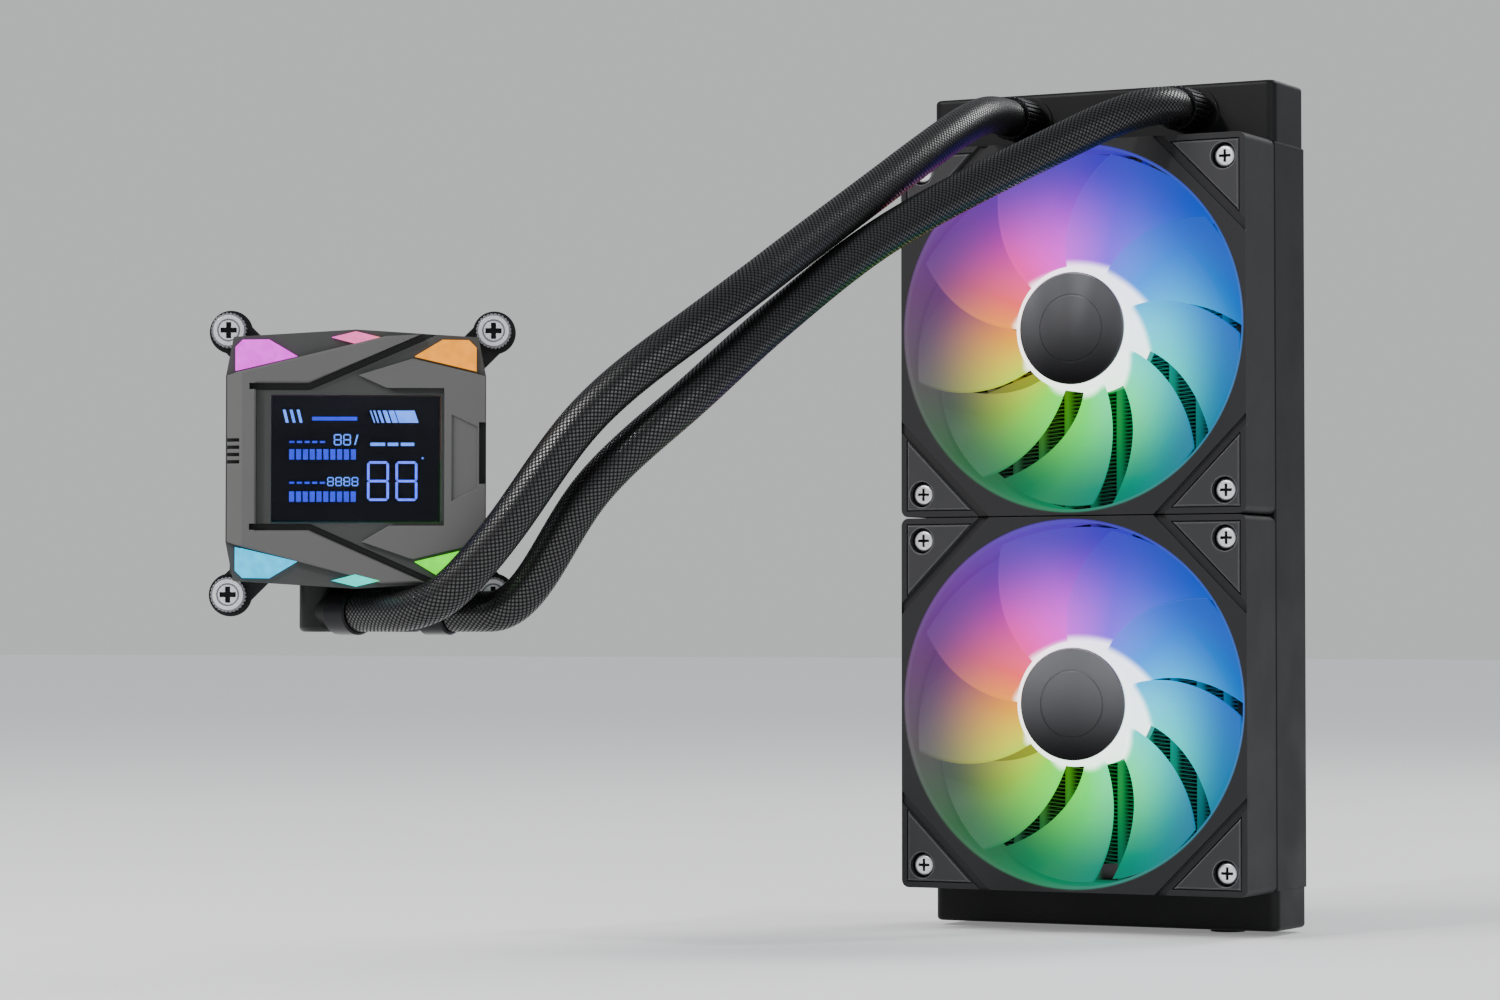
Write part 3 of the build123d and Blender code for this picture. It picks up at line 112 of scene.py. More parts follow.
class Shader:
    """One node material. Its methods add nodes and return their output sockets."""

    def __init__(self, name):
        self.material = bpy.data.materials.new(name)
        self.material.use_nodes = True
        self.tree = self.material.node_tree
        self.surface = self.tree.nodes["Principled BSDF"]
        self.place = self.add("ShaderNodeTexCoord").outputs["Object"]

    def add(self, kind, **settings):
        node = self.tree.nodes.new(kind)
        for key, value in settings.items():
            setattr(node, key, value)
        return node

    def feed(self, socket, value):
        """Links an output into a socket, or sets the socket's plain value."""
        if isinstance(value, bpy.types.NodeSocket):
            self.tree.links.new(value, socket)
        else:
            socket.default_value = value

    def set(self, name, value):
        self.feed(self.surface.inputs[name], value)

    def math(self, operation, first, second=0.0):
        node = self.add("ShaderNodeMath", operation=operation)
        self.feed(node.inputs[0], first)
        self.feed(node.inputs[1], second)
        return node.outputs[0]

    def mix(self, factor, first, second):
        node = self.add("ShaderNodeMix", data_type="RGBA")
        self.feed(node.inputs["Factor"], factor)
        self.feed(node.inputs[6], first)
        self.feed(node.inputs[7], second)
        return node.outputs[2]

    def noise(self, size_mm, detail=2.0, place=None):
        """Noise whose features are about this many millimetres across."""
        node = self.add("ShaderNodeTexNoise")
        self.feed(node.inputs["Vector"], place or self.place)
        node.inputs["Scale"].default_value = 1 / (size_mm * MM)
        node.inputs["Detail"].default_value = detail
        return node.outputs["Fac"]

    def stretch(self, scale):
        """Coordinates multiplied by a different number along each axis."""
        node = self.add("ShaderNodeVectorMath", operation="MULTIPLY")
        self.feed(node.inputs[0], self.place)
        node.inputs[1].default_value = scale
        return node.outputs[0]

    def ramp(self, factor, stops):
        node = self.add("ShaderNodeValToRGB")
        elements = node.color_ramp.elements
        for index, (position, color) in enumerate(stops):
            element = elements[index] if index < 2 else elements.new(position)
            element.position = position
            element.color = color
        self.feed(node.inputs["Fac"], factor)
        return node.outputs["Color"]

    def range(self, value, low, high, new_low=0.0, new_high=1.0):
        node = self.add("ShaderNodeMapRange", interpolation_type="SMOOTHSTEP")
        self.feed(node.inputs["Value"], value)
        node.inputs["From Min"].default_value = low
        node.inputs["From Max"].default_value = high
        node.inputs["To Min"].default_value = new_low
        node.inputs["To Max"].default_value = new_high
        return node.outputs["Result"]

    def bump(self, height, depth_mm, edge_mm=0.0):
        """Relief from a height, on top of softly rounded edges when edge_mm is more than nothing."""
        node = self.add("ShaderNodeBump")
        self.feed(node.inputs["Height"], height)
        node.inputs["Distance"].default_value = depth_mm * MM
        if edge_mm:
            rounded = self.add("ShaderNodeBevel", samples=4)
            rounded.inputs["Radius"].default_value = edge_mm * MM
            self.feed(node.inputs["Normal"], rounded.outputs["Normal"])
        self.set("Normal", node.outputs["Normal"])

    def edges(self, width_mm):
        """1 along outside edges and 0 on flat faces."""
        rounded = self.add("ShaderNodeBevel", samples=4)
        rounded.inputs["Radius"].default_value = width_mm * MM
        geometry = self.add("ShaderNodeNewGeometry")
        dot = self.add("ShaderNodeVectorMath", operation="DOT_PRODUCT")
        self.feed(dot.inputs[0], rounded.outputs["Normal"])
        self.feed(dot.inputs[1], geometry.outputs["Normal"])
        return self.range(dot.outputs["Value"], 0.99, 0.8)

    def glow(self, color, strength):
        self.set("Emission Color", color)
        self.set("Emission Strength", strength)


def grained(
    name, color, roughness, metallic=0.0, grain_mm=0.35, relief_mm=0.02, shade=0.12, edge_mm=0.3,
    wear_and_edge_highlight=0.0, rub_and_highlight_gain=2.2, shine=0.5,
):
    """A moulded or painted surface: fine grain, slow random changes of tone, and edges a little lighter, partly as
    wear and partly as a painted highlight.
    """
    shader = Shader(name)
    grain = shader.noise(grain_mm, 3.0)
    cloud = shader.noise(28.0, 4.0)
    dark = tuple(c * (1 - shade) for c in color[:3]) + (1.0,)
    light = tuple(min(1.0, c * (1 + shade)) for c in color[:3]) + (1.0,)
    halves = shader.math("MULTIPLY", grain, 0.5), shader.math("MULTIPLY", cloud, 0.5)
    base = shader.mix(shader.math("ADD", *halves), dark, light)
    # Edges are made lighter partly as wear and partly as a painted highlight where they would catch the light.
    if wear_and_edge_highlight:
        rubbed_and_highlit = tuple(min(1.0, c * rub_and_highlight_gain + 0.03) for c in color[:3]) + (1.0,)
        base = shader.mix(shader.math("MULTIPLY", shader.edges(edge_mm), wear_and_edge_highlight), base, rubbed_and_highlit)
    shader.set("Base Color", base)
    shader.set("Metallic", metallic)
    shader.set("Roughness", shader.range(cloud, 0.3, 0.7, roughness - 0.05, roughness + 0.06))
    shader.set("Specular IOR Level", shine)
    shader.bump(grain, relief_mm, edge_mm)
    return shader


def brushed(name, color, roughness=0.28, stretch=(1, 1, 1), grain_mm=0.25, patches=0.075):
    """Machined metal with fine scratches along one direction, and slow changes of gloss."""
    shader = Shader(name)
    scratches = shader.noise(grain_mm, 3.0, shader.stretch(stretch))
    cloud = shader.noise(9.0, 3.0)
    dark = tuple(c * 0.78 for c in color[:3]) + (1.0,)
    shader.set("Base Color", shader.mix(scratches, dark, color))
    shader.set("Metallic", 1.0)
    shader.set("Roughness", shader.range(cloud, 0.3, 0.7, roughness - patches, roughness + patches))
    shader.bump(scratches, 0.004, 0.2)
    return shader


# The lights' colours round a fan, anticlockwise from the right: near the hub, and out at the blades' tips.
NEAR_HUB = [
    (0.00, srgb(0.02, 0.86, 1.00)),
    (0.10, srgb(0.10, 0.55, 1.00)),
    (0.20, srgb(0.50, 0.28, 1.00)),
    (0.29, srgb(0.96, 0.14, 1.00)),
    (0.37, srgb(1.00, 0.18, 0.66)),
    (0.44, srgb(1.00, 0.34, 0.34)),
    (0.50, srgb(1.00, 0.62, 0.12)),
    (0.58, srgb(0.84, 0.86, 0.06)),
    (0.66, srgb(0.46, 0.96, 0.10)),
    (0.75, srgb(0.10, 1.00, 0.32)),
    (0.85, srgb(0.04, 1.00, 0.66)),
    (1.00, srgb(0.02, 0.86, 1.00)),
]
AT_TIPS = [
    (0.00, srgb(0.04, 0.50, 1.00)),
    (0.12, srgb(0.06, 0.38, 1.00)),
    (0.22, srgb(0.28, 0.20, 1.00)),
    (0.30, srgb(0.46, 0.26, 0.96)),
    (0.38, srgb(0.56, 0.26, 0.78)),
    (0.46, srgb(0.52, 0.32, 0.58)),
    (0.54, srgb(0.46, 0.44, 0.46)),
    (0.62, srgb(0.26, 0.52, 0.34)),
    (0.72, srgb(0.08, 0.66, 0.44)),
    (0.82, srgb(0.04, 0.66, 0.62)),
    (1.00, srgb(0.04, 0.50, 1.00)),
]


def fan_place(shader):
    """How far a point is right of its fan's axis and above it, in the room, not on the turning blades."""
    split = shader.add("ShaderNodeSeparateXYZ")
    shader.feed(split.inputs[0], shader.add("ShaderNodeNewGeometry").outputs["Position"])
    side = shader.math("SIGN", split.outputs["Z"])
    up = shader.math("SUBTRACT", split.outputs["Z"], shader.math("MULTIPLY", side, FAN_Z))
    return split.outputs["X"], up


def fan_light(shader):
    """The light's colour at a point near either fan, and the point's distance from that fan's axis."""
    across, up = fan_place(shader)
    turn = shader.math("DIVIDE", shader.math("ARCTAN2", up, across), 2 * math.pi)
    turn = shader.math("FRACT", shader.math("ADD", turn, 1.0))
    square = shader.math("ADD", shader.math("MULTIPLY", across, across), shader.math("MULTIPLY", up, up))
    radius = shader.math("SQRT", square)
    outer = shader.range(radius, HUB_RADIUS * 1.2, TIP_RADIUS)
    return shader.mix(outer, shader.ramp(turn, NEAR_HUB), shader.ramp(turn, AT_TIPS)), radius


def pump_distance(shader, direction):
    """How far a point is along a direction from the middle of the cold plate's face, in millimetres."""
    local = shader.add("ShaderNodeVectorMath", operation="SUBTRACT")
    shader.feed(local.inputs[0], shader.place)
    local.inputs[1].default_value = PUMP_ORIGIN
    dot = shader.add("ShaderNodeVectorMath", operation="DOT_PRODUCT")
    shader.feed(dot.inputs[0], local.outputs[0])
    dot.inputs[1].default_value = direction / MM
    return dot.outputs["Value"]


def pump_depth(shader):
    """How far a point is in front of the cold plate, in millimetres."""
    return pump_distance(shader, FACE_W)


def fan_depth(shader):
    """How far a point is in front of the fans' backs, in millimetres."""
    split = shader.add("ShaderNodeSeparateXYZ")
    shader.feed(split.inputs[0], shader.place)
    return shader.math("DIVIDE", shader.math("SUBTRACT", FAN_BACK, split.outputs["Y"]), MM)


def facing_front(shader):
    """1 on faces that look the same way as the display and 0 on walls."""
    geometry = shader.add("ShaderNodeNewGeometry")
    turned = shader.add(
        "ShaderNodeVectorTransform", vector_type="NORMAL", convert_from="WORLD", convert_to="OBJECT"
    )
    shader.feed(turned.inputs[0], geometry.outputs["True Normal"])
    dot = shader.add("ShaderNodeVectorMath", operation="DOT_PRODUCT")
    shader.feed(dot.inputs[0], turned.outputs[0])
    dot.inputs[1].default_value = FACE_W
    return shader.range(dot.outputs["Value"], 0.35, 0.75)


def cover_material():
    """The cover's grey plastic with painted shade: almost black in its grooves, on its steps and on the display's
    ledge, and darker grey below the ledge.
    """
    shader = grained(
        "cover_plastic", srgb(0.335, 0.335, 0.33), 0.5,
        grain_mm=0.25, shade=0.08, wear_and_edge_highlight=0.3, edge_mm=0.35, shine=0.3,
    )
    plain = shader.surface.inputs["Base Color"].links[0].from_socket
    depth = pump_depth(shader)
    # Painted shade in the grooves, on walls that face away from the display's side, and on the display's ledge.
    groove_shade = shader.range(depth, GROOVE_LEVEL + 0.15, GROOVE_LEVEL - 0.15)
    wall_shade = shader.math("SUBTRACT", 1.0, facing_front(shader))
    dark = shader.math("MAXIMUM", groove_shade, shader.math("MULTIPLY", wall_shade, 0.85))
    above = shader.range(depth, LEDGE_BOTTOM, LEDGE_BOTTOM + 0.1)
    below = shader.range(depth, LEDGE_TOP, LEDGE_TOP - 0.03)
    dark = shader.math("MAXIMUM", dark, shader.math("MULTIPLY", shader.math("MULTIPLY", above, below), 0.92))
    # Painted shade: surfaces set back below the ledge's level are a darker grey.
    shaded_below_ledge = shader.mix(shader.range(depth, LEDGE_BOTTOM, LEDGE_BOTTOM - 0.2), plain, srgb(0.235, 0.24, 0.235))
    shader.set("Base Color", shader.mix(dark, shaded_below_ledge, srgb(0.04, 0.04, 0.04)))
    return shader.material


def screw_material(name, head_top, depth_of):
    """Bright turned screw heads, with painted shade darkening their sides and their cross slots."""
    shader = Shader(name)
    depth = depth_of(shader)
    fine = shader.noise(0.4, 3.0)
    bright = shader.mix(fine, srgb(0.88, 0.88, 0.90), srgb(0.97, 0.97, 0.98))
    # Painted shade: grey on the head's sides just under its top, near black in the cross slot and below.
    shade = shader.mix(shader.range(depth, head_top - 0.1, head_top - 0.3), bright, srgb(0.55, 0.55, 0.57))
    sunk_shade = shader.range(depth, head_top - 0.7, head_top - 1.1)
    shader.set("Base Color", shader.mix(sunk_shade, shade, srgb(0.10, 0.10, 0.105)))
    shader.set("Metallic", 0.75)
    shader.set("Roughness", shader.range(fine, 0.3, 0.7, 0.3, 0.4))
    shader.bump(fine, 0.003, 0.15)
    return shader.material


def blade_material():
    """Frosted clear plastic that glows white at the hub and coloured further out."""
    shader = Shader("lit_frosted_blades")
    color, radius = fan_light(shader)
    whiteness = shader.range(radius, HUB_RADIUS * 0.98, HUB_RADIUS * 1.14, 0.85, 0.0)
    glow = shader.mix(whiteness, color, srgb(1, 1, 1))
    grain = shader.noise(0.5, 2.0)
    shader.set("Base Color", shader.mix(0.93, glow, srgb(0.06, 0.06, 0.06)))
    shader.set("Roughness", shader.range(grain, 0.3, 0.7, 0.45, 0.55))
    shader.set("Specular IOR Level", 0.15)
    fade = shader.range(radius, HUB_RADIUS * 1.1, TIP_RADIUS, 1.5, 0.62)
    ring = shader.math("MULTIPLY", whiteness, 1.8)
    shader.glow(glow, shader.math("ADD", fade, ring))
    shader.bump(grain, 0.01)
    return shader.material


def spill_material(name, color, roughness, strength, metallic=0.0, reach=0.6 * MM, grain_mm=0.4):
    """A dark surface that is lit in the fans' colours inside the ducts."""
    shader = grained(name, color, roughness, metallic, grain_mm=grain_mm, wear_and_edge_highlight=0.5, shine=0.2)
    light, radius = fan_light(shader)
    inside = shader.range(radius, DUCT_RADIUS + reach * 2, DUCT_RADIUS + reach)
    # The light reaches only a few millimetres in between the radiator's fins.
    reached = shader.range(fan_depth(shader), -10.0, -1.0)
    shader.glow(light, shader.math("MULTIPLY", shader.math("MULTIPLY", inside, reached), strength))
    return shader.material


def window_material():
    """The light guide: each window glows in its own colour."""
    shader = Shader("lit_windows")
    window_rows = [
        (srgb(1.0, 0.16, 1.0), srgb(1.0, 0.42, 0.70), srgb(1.0, 0.62, 0.08)),
        (srgb(0.0, 0.80, 1.0), srgb(0.0, 0.92, 0.86), srgb(0.36, 1.0, 0.0)),
    ]
    position = shader.range(pump_distance(shader, FACE_U), -COVER_HALF, COVER_HALF)
    rows = []
    for left, middle, right in window_rows:
        stops = [(0.0, left), (1.0, right), (0.30, left), (0.42, middle), (0.58, middle), (0.70, right)]
        rows.append(shader.ramp(position, stops))
    top = shader.math("GREATER_THAN", pump_distance(shader, FACE_V), 0.0)
    color = shader.mix(top, rows[1], rows[0])
    frost = shader.noise(2.5, 2.0)
    shader.set("Base Color", shader.mix(0.93, color, srgb(0.06, 0.06, 0.06)))
    shader.set("Roughness", 0.45)
    shader.set("Specular IOR Level", 0.15)
    shader.glow(color, shader.range(frost, 0.2, 0.8, 1.35, 1.75))
    shader.bump(frost, 0.02)
    return shader.material


def glowing(name, low, high, strength, size_mm):
    """A lit mark on the display, uneven like a row of tiny lamps."""
    shader = Shader(name)
    speckle = shader.noise(size_mm, 1.0)
    color = shader.mix(speckle, low, high)
    shader.set("Base Color", color)
    shader.set("Roughness", 0.5)
    shader.glow(color, strength)
    return shader.material


def panel_material():
    """The dark display: nearly black, turning faintly grey towards its top edge."""
    shader = Shader("display_black")
    height = shader.add("ShaderNodeSeparateXYZ")
    shader.feed(height.inputs[0], shader.place)
    top_grey_fade = shader.range(height.outputs["Z"], PUMP_ORIGIN.z + 4 * MM, PUMP_ORIGIN.z + 18 * MM)
    dots = shader.noise(0.3, 1.0)
    shader.set("Base Color", shader.mix(top_grey_fade, srgb(0.005, 0.005, 0.01), srgb(0.07, 0.07, 0.075)))
    shader.set("Roughness", shader.range(dots, 0.3, 0.7, 0.3, 0.4))
    shader.set("Specular IOR Level", 0.2)
    return shader.material


def glass_material():
    """The display's cover glass, clear with a faint blue tint."""
    shader = Shader("display_cover_glass")
    smudge = shader.noise(14.0, 3.0)
    shader.set("Base Color", shader.mix(smudge, srgb(0.90, 0.93, 1.0), srgb(0.97, 0.98, 1.0)))
    shader.set("Roughness", shader.range(smudge, 0.4, 0.8, 0.02, 0.08))
    shader.set("Transmission Weight", 1.0)
    shader.set("IOR", 1.08)
    return shader.material


def braid_material():
    """Black nylon braid: each strand is glossy along its crown, with a painted lighter tone there and painted
    shade where it dives under.
    """
    shader = Shader("black_braid")
    uv = shader.add("ShaderNodeTexCoord").outputs["UV"]
    split = shader.add("ShaderNodeSeparateXYZ")
    shader.feed(split.inputs[0], uv)
    heights = []
    for sign in ("ADD", "SUBTRACT"):
        strand = shader.math(sign, split.outputs["X"], split.outputs["Y"])
        heights.append(shader.math("ABSOLUTE", shader.math("SINE", shader.math("MULTIPLY", strand, math.pi))))
    crown = shader.math("MULTIPLY", heights[0], heights[1])
    fibre = shader.noise(0.18, 2.0)
    # Painted highlight on the strands' crowns and painted shade where they dive under.
    shaded_weave_tone = shader.mix(crown, srgb(0.006, 0.006, 0.008), srgb(0.10, 0.10, 0.105))
    shader.set("Base Color", shader.mix(shader.math("MULTIPLY", fibre, 0.3), shaded_weave_tone, srgb(0.08, 0.08, 0.085)))
    shader.set("Roughness", shader.range(crown, 0.0, 1.0, 0.6, 0.2))
    shader.set("Specular IOR Level", shader.range(crown, 0.0, 1.0, 0.1, 0.9))
    shader.bump(fibre, 0.03)
    return shader.material


def hub_material():
    """The hub caps' dark brushed metal, with a painted sheen that makes them lighter towards the top."""
    shader = brushed(
        "dark_hub_metal", srgb(0.30, 0.30, 0.32), 0.4, stretch=(1, 1, 0.02), grain_mm=0.2, patches=0.02
    )
    # Painted sheen: lighter towards the top of each hub, fixed in the room.
    painted_sheen = shader.range(fan_place(shader)[1], -HUB_RADIUS, HUB_RADIUS)
    plain = shader.surface.inputs["Base Color"].links[0].from_socket
    bright = shader.mix(0.5, plain, srgb(0.62, 0.62, 0.63))
    shader.set("Base Color", shader.mix(painted_sheen, srgb(0.10, 0.10, 0.105), bright))
    return shader.material


def circuit_material():
    """A dark green board with fine copper tracks."""
    shader = Shader("circuit_board")
    grid = shader.add("ShaderNodeTexBrick")
    shader.feed(grid.inputs["Vector"], shader.place)
    grid.inputs["Scale"].default_value = 320.0
    grid.inputs["Color1"].default_value = srgb(0.05, 0.22, 0.14)
    grid.inputs["Color2"].default_value = srgb(0.06, 0.26, 0.17)
    grid.inputs["Mortar"].default_value = srgb(0.35, 0.42, 0.22)
    shader.set("Base Color", grid.outputs["Color"])
    shader.set("Roughness", 0.4)
    shader.bump(grid.outputs["Fac"], 0.03)
    return shader.material


def assign(material, *names):
    """Puts one material on CAD nodes, in place of the plain ones they came with."""
    for name in names:
        mesh = nodes[name].data
        mesh.materials.clear()
        mesh.materials.append(material)


black_paint = grained(
    "satin_black_paint", srgb(0.05, 0.05, 0.053), 0.48,
    grain_mm=0.5, relief_mm=0.03, wear_and_edge_highlight=0.35, edge_mm=0.5, shine=0.2,
).material
core_paint = spill_material("painted_core", srgb(0.06, 0.06, 0.065), 0.45, 0.42, metallic=0.4)
black_metal = grained(
    "black_anodised", srgb(0.10, 0.10, 0.11), 0.3, metallic=0.8, grain_mm=0.2, relief_mm=0.01, wear_and_edge_highlight=0.5
).material
fan_plastic = spill_material("fan_frame_plastic", srgb(0.14, 0.14, 0.145), 0.55, 0.6)
# Painted highlight: the pads' edges are made far lighter, as bright lines along the grooves beside them.
pad_plastic = grained(
    "corner_pad_plastic", srgb(0.17, 0.17, 0.175), 0.55,
    relief_mm=0.03, edge_mm=0.7, wear_and_edge_highlight=0.8, rub_and_highlight_gain=9.0, shine=0.3,
).material
pump_plastic = grained(
    "black_glass_filled_plastic", srgb(0.06, 0.06, 0.06), 0.45,
    grain_mm=0.6, relief_mm=0.04, wear_and_edge_highlight=0.3, shine=0.3,
).material
shell_metal = grained("black_shell_paint", srgb(0.12, 0.12, 0.125), 0.35, metallic=0.3, wear_and_edge_highlight=0.4).material
rubber = grained("black_rubber", srgb(0.05, 0.05, 0.052), 0.6, grain_mm=0.3, relief_mm=0.02).material
lead_rubber = grained("black_lead", srgb(0.06, 0.06, 0.06), 0.5, grain_mm=0.2, relief_mm=0.02).material
white_plastic = grained("white_impeller_plastic", srgb(0.85, 0.85, 0.84), 0.4).material
magnet = grained("dull_magnet", srgb(0.22, 0.22, 0.23), 0.5, metallic=0.6, grain_mm=0.4).material
steel = brushed("machined_steel", srgb(0.86, 0.86, 0.87), 0.24).material
bracket_paint = grained(
    "black_bracket_paint", srgb(0.075, 0.075, 0.08), 0.4, metallic=0.5, grain_mm=0.3, wear_and_edge_highlight=0.4
).material
bronze = brushed("sintered_bronze", srgb(0.70, 0.55, 0.32), 0.4).material
copper = brushed("milled_copper", srgb(0.90, 0.56, 0.40), 0.22, stretch=(1, 1, 0.05)).material
coil = brushed(
    "varnished_copper_wire", srgb(0.72, 0.38, 0.20), 0.35, stretch=(0.2, 1, 1), grain_mm=0.3
).material
braid = braid_material()

assign(black_paint, "port_tank", "return_tank", "left_side_rail", "right_side_rail")
assign(core_paint, "coolant_tubes", "cooling_fins", "header_plates")
assign(black_metal, "port_spouts", "hose_collars", "fill_plug", "supply_elbow_collar", "return_elbow_collar")
assign(fan_plastic, "upper_fan_frame", "lower_fan_frame")
assign(pad_plastic, "fan_corner_pads")
assign(blade_material(), "upper_fan_rotor", "lower_fan_rotor")
assign(hub_material(), "upper_fan_hub_cap", "lower_fan_hub_cap")
assign(magnet, "upper_fan_magnet_ring", "lower_fan_magnet_ring")
assign(steel, "upper_fan_shaft", "lower_fan_shaft", "pump_shaft", "cold_plate_screws", "screw_springs")
thumb_screws = [f"thumb_screw_{number}" for number in range(1, 5)]
assign(screw_material("pump_screw_heads", PUMP_SCREW_TOP, pump_depth), *thumb_screws)
assign(screw_material("fan_screw_heads", FAN_SCREW_TOP, fan_depth), "fan_screws")
assign(bracket_paint, "mounting_bracket")
assign(bronze, "fan_bearings")
assign(coil, "fan_motor_coils", "pump_stator")
assign(circuit_material(), "fan_light_boards", "pump_board")
assign(lead_rubber, "fan_cables", "pump_cable")
hose_ends = [f"{side}_hose_{end}_end" for side in SIDES for end in ("radiator", "pump", "elbow")]
assign(rubber, "cold_plate_seal", *hose_ends)
assign(copper, "cold_plate")
assign(pump_plastic, "pump_housing", "supply_elbow", "return_elbow")
assign(white_plastic, "pump_impeller")
assign(shell_metal, "pump_shell")
assign(window_material(), "light_guide")
assign(panel_material(), "display_panel")
assign(glass_material(), "display_glass")
assign(cover_material(), "pump_cover")
assign(braid, "hose_sleeves_radiator_end", "hose_sleeves_pump_end")
assign(braid, "supply_elbow_sleeve", "return_elbow_sleeve")


# ================================================================ mesh helpers
def mesh_piece(name, points, faces, material, smooth=True):
    """A new object from vertices and faces, both already in the shared frame."""
    mesh = bpy.data.meshes.new(name)
    mesh.from_pydata([tuple(p) for p in points], [], faces)
    mesh.materials.append(material)
    mesh.polygons.foreach_set("use_smooth", [smooth] * len(mesh.polygons))
    mesh.update()
    piece = bpy.data.objects.new(name, mesh)
    bpy.context.scene.collection.objects.link(piece)
    return piece


# ================================================================ fine cooling fins
FIN_STRIPS = 13
FIN_PITCH = 1.25 * MM
FIN_SHEET = 0.12 * MM
FIN_CLEARANCE = 0.12 * MM
TUBE_THICKNESS = 2.0 * MM


def fine_fins():
    """Folded strips between the tubes at their real spacing, as thin closed sheets."""
    low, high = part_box("cooling_fins")
    tubes_low, tubes_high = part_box("coolant_tubes")
    pitch = (tubes_high.x - tubes_low.x - TUBE_THICKNESS) / (FIN_STRIPS - 2)
    reach = (pitch - TUBE_THICKNESS) / 2 - FIN_CLEARANCE
    folds = int((high.z - low.z) / FIN_PITCH)
    heights = low.z + np.arange(2 * folds + 1) * FIN_PITCH / 2
    points, faces = [], []
    for strip in range(FIN_STRIPS):
        middle = (strip - (FIN_STRIPS - 1) / 2) * pitch
        first = len(points)
        for index, z in enumerate(heights):
            x = middle + (reach if index % 2 else -reach)
            for y in (low.y, high.y):
                points.append((x - FIN_SHEET, y, z))
                points.append((x + FIN_SHEET, y, z))
        for index in range(len(heights) - 1):
            a = first + 4 * index
            b = a + 4
            faces += [(a, a + 1, b + 1, b), (a + 2, b + 2, b + 3, a + 3)]
            faces += [(a, b, b + 2, a + 2), (a + 1, a + 3, b + 3, b + 1)]
        last = first + 4 * (len(heights) - 1)
        faces += [(first, first + 2, first + 3, first + 1), (last, last + 1, last + 3, last + 2)]
    piece = mesh_piece("fine_cooling_fins", points, faces, core_paint, smooth=False)
    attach(piece, "radiator")
    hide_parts("cooling_fins")


fine_fins()

# ================================================================ braided hoses
# Each hose's centre line in millimetres: a straight start in the radiator's collar, the points it passes
# on its way to the flex joint, and those from there to its elbow, as (u, v, w) on the pump head.
PORT_X = {"supply": -25.0, "return": 33.0}
PORT_HEIGHT = 129.5
HOSE_START = 43.3
HOSE_STRAIGHT = 46.0
RADIATOR_SIDE = {
    "supply": [(-23.0, -66.0, 127.8), (-22.0, -97.6, 117.4), (-27.0, -137.5, 97.3)],
    "return": [(27.5, -63.0, 126.8), (13.5, -82.1, 117.0), (-6.4, -111.7, 100.1), (-22.6, -146.5, 80.8)],
}
FLEX_HEIGHT = {"supply": 71.3, "return": 55.3}
FLEX_DIRECTION = {"supply": (18.0, 88.0, 50.0), "return": (27.8, 71.4, 52.6)}
PUMP_SIDE = {
    "supply": [
        (93.6, 35.0, 40.5), (65.5, 10.5, 50.0), (46.0, -16.5, 52.0), (35.0, -30.5, 50.0), (24.0, -40.5, 45.5),
    ],
    "return": [(93.6, 15.2, 38.5), (67.0, -10.5, 41.5), (56.0, -28.0, 37.5)],
}
ELBOW_TURN = {"supply": 45.0, "return": 30.0}
ELBOW_X = {"supply": -12.0, "return": 12.0}
ELBOW_DROP = -44.0
ELBOW_DEPTH = 12.0
ELBOW_OUTLET = 17.7
ELBOW_SPLIT = 46.0
FLEX_GAP = 3.0
SWIVEL_REACH = 30.0
SWIVEL_GAP = 1.2
LINE_STEP = 0.5 * MM
SLEEVE_RADIUS = 6.0 * MM
STRANDS = 24
RING_POINTS = 96
RING_STEP = 0.34 * MM
WEAVE_DEPTH = 0.30 * MM


def spline(points, start, end):
    """Closely spaced points on the smooth curve through points, with unit directions at both ends."""
    knots = np.concatenate([[0], np.cumsum(np.linalg.norm(np.diff(points, axis=0), axis=1))])
    count = len(points)
    gaps = np.diff(knots)
    system = np.zeros((count, count))
    right = np.zeros((count, 3))
    system[0, 0] = system[-1, -1] = 1
    right[0], right[-1] = start, end
    for i in range(1, count - 1):
        system[i, i - 1] = gaps[i]
        system[i, i] = 2 * (gaps[i - 1] + gaps[i])
        system[i, i + 1] = gaps[i - 1]
        before = (points[i] - points[i - 1]) / gaps[i - 1]
        after = (points[i + 1] - points[i]) / gaps[i]
        right[i] = 3 * (gaps[i] * before + gaps[i - 1] * after)
    slopes = np.linalg.solve(system, right)
    result = []
    for i in range(count - 1):
        steps = max(2, int(gaps[i] / LINE_STEP))
        t = np.linspace(0, 1, steps, endpoint=i == count - 2)[:, None]
        result.append(
            (2 * t**3 - 3 * t**2 + 1) * points[i]
            + (t**3 - 2 * t**2 + t) * gaps[i] * slopes[i]
            + (3 * t**2 - 2 * t**3) * points[i + 1]
            + (t**3 - t**2) * gaps[i] * slopes[i + 1]
        )
    return np.vstack(result)


def elbow_point(side, reach):
    """The point this many millimetres from an elbow's swivel line along its outlet."""
    turn = math.radians(ELBOW_TURN[side])
    u = ELBOW_X[side] + reach * math.cos(turn)
    return pump_point(u, ELBOW_DROP, ELBOW_DEPTH + reach * math.sin(turn))


def flex_point(side):
    """Where a hose crosses the flex joint, and its unit direction there towards the radiator."""
    return Vector((FLEX.x, FLEX.y, FLEX_HEIGHT[side] * MM)), Vector(FLEX_DIRECTION[side]).normalized()


